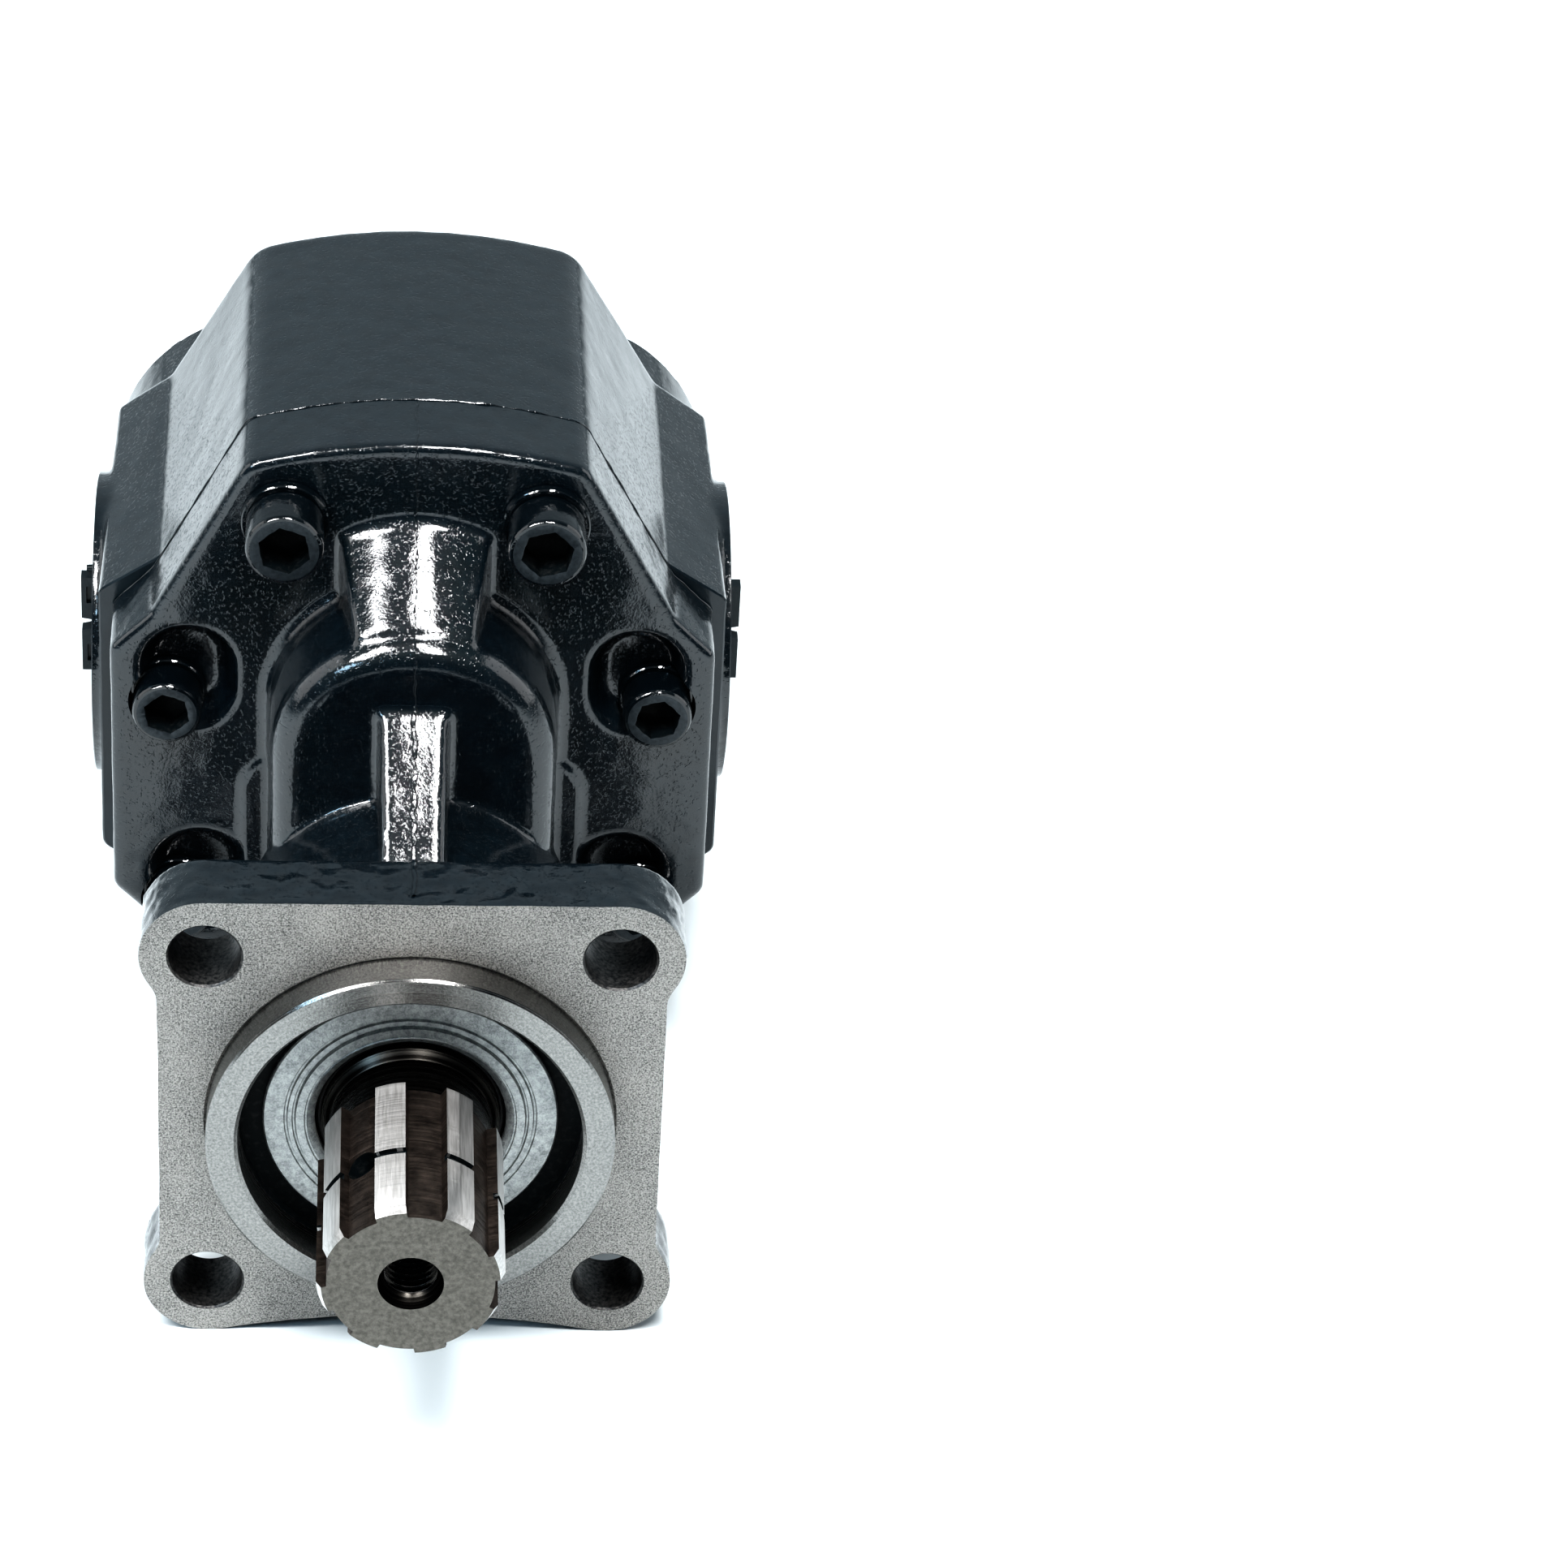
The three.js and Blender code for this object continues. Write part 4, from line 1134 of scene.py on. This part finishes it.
def dress_inner_nodes():
    looks = (
        (STEEL, ("driven_gear", "dowel_pin_left", "dowel_pin_right")),
        (BRONZE, ("drive_front_bush", "drive_rear_bush", "driven_front_bush", "driven_rear_bush")),
        (ALUMINIUM, ("front_thrust_plate", "rear_thrust_plate")),
        (RUBBER, ("front_plate_seal", "rear_plate_seal", "housing_seal", "shaft_seal_inner")),
        (SPRING, ("seal_spring_outer", "seal_spring_inner", "seal_circlip")),
    )
    for material, names in looks:
        for name in names:
            materials = frame["nodes"][name].data.materials
            materials.clear()
            materials.append(material)


# ---------- studio ----------


def area_light(name, place, target, size, power, colour=(1, 1, 1)):
    data = bpy.data.lights.new(name, "AREA")
    data.shape = "RECTANGLE"
    data.size, data.size_y = size
    data.energy = power
    data.color = colour
    light = add_object(name, data)
    light.location = place
    light.rotation_euler = (Vector(target) - Vector(place)).to_track_quat("-Z", "Y").to_euler()


def sky():
    """Light from the room: dark in front of the pump and bright behind it."""
    world = bpy.data.worlds.new("studio")
    world.use_nodes = True
    tree = world.node_tree
    background = tree.nodes["Background"]
    direction = tree.nodes.new("ShaderNodeTexCoord").outputs["Generated"]
    split = tree.nodes.new("ShaderNodeSeparateXYZ")
    tree.links.new(direction, split.inputs[0])
    ramp = tree.nodes.new("ShaderNodeValToRGB")
    tree.links.new(split.outputs["Y"], ramp.inputs["Fac"])
    first, second = ramp.color_ramp.elements
    first.position, first.color = 0.0, (0.03, 0.045, 0.055, 1)
    second.position, second.color = 0.75, (0.42, 0.48, 0.51, 1)
    tree.links.new(ramp.outputs["Color"], background.inputs["Color"])
    background.inputs["Strength"].default_value = 1.0
    bpy.context.scene.world = world


def studio():
    floor_mesh = bpy.data.meshes.new("floor")
    reach = 6.0
    corners = [(-reach, -reach, 0), (reach, -reach, 0), (reach, reach, 0), (-reach, reach, 0)]
    floor_mesh.from_pydata(corners, [], [(0, 1, 2, 3)])
    floor = add_object("floor", floor_mesh)
    paper = Shader("white_paper", Base_Color=(0.70, 0.75, 0.77, 1), Roughness=0.9, Specular_IOR_Level=0.1)
    floor_mesh.materials.append(paper.material)

    centre = (0, 0, 0.08)
    for name, x, width in (("left_strip", -0.6, 0.4), ("right_strip", 0.18, 0.2)):
        area_light(name, (x, -0.48, 1.25), centre, (width, 0.6), 20)
    area_light("left_wall", (-1.5, 0.1, 0.75), centre, (1.3, 1.2), 8, (1, 0.995, 0.985))
    area_light("right_wall", (1.5, 0.1, 0.75), centre, (1.3, 1.2), 8, (0.99, 0.995, 1))
    area_light("window", (-0.85, -0.85, 0.85), centre, (0.3, 0.22), 3.0, (0.55, 0.8, 1))
    sky()
    bpy.context.scene.view_settings.view_transform = "Standard"
    bpy.context.scene.view_settings.look = "High Contrast"


def camera():
    """The camera stands 1.1 m from the flange, looking down on the shaft end from the front."""
    stand = Vector((-10.5, -880.8, 683.4))
    yaw, pitch, roll = math.radians(5.18), math.radians(34.23), math.radians(3.57)
    data = bpy.data.cameras.new("camera")
    data.sensor_width = 36
    data.lens = 129.8
    data.clip_start = 0.05
    view = add_object("camera", data)
    turn = (Matrix.Rotation(-yaw, 4, "Z") @ Matrix.Rotation(math.pi / 2 - pitch, 4, "X")
            @ Matrix.Rotation(roll, 4, "Z"))
    view.matrix_world = Matrix.Translation(TO_ROW @ stand) @ turn
    bpy.context.scene.camera = view


camera()
front_cover()
gear_housing()
drive_shaft()
seal_retainer()
shaft_seal()
for screw in screw_nodes():
    cap_screw(screw)
    lock_washer(screw.replace("cover_screw", "cover_washer"))
port_plug("port_plug_left", -1)
port_plug("port_plug_right", 1)
dress_inner_nodes()
studio()
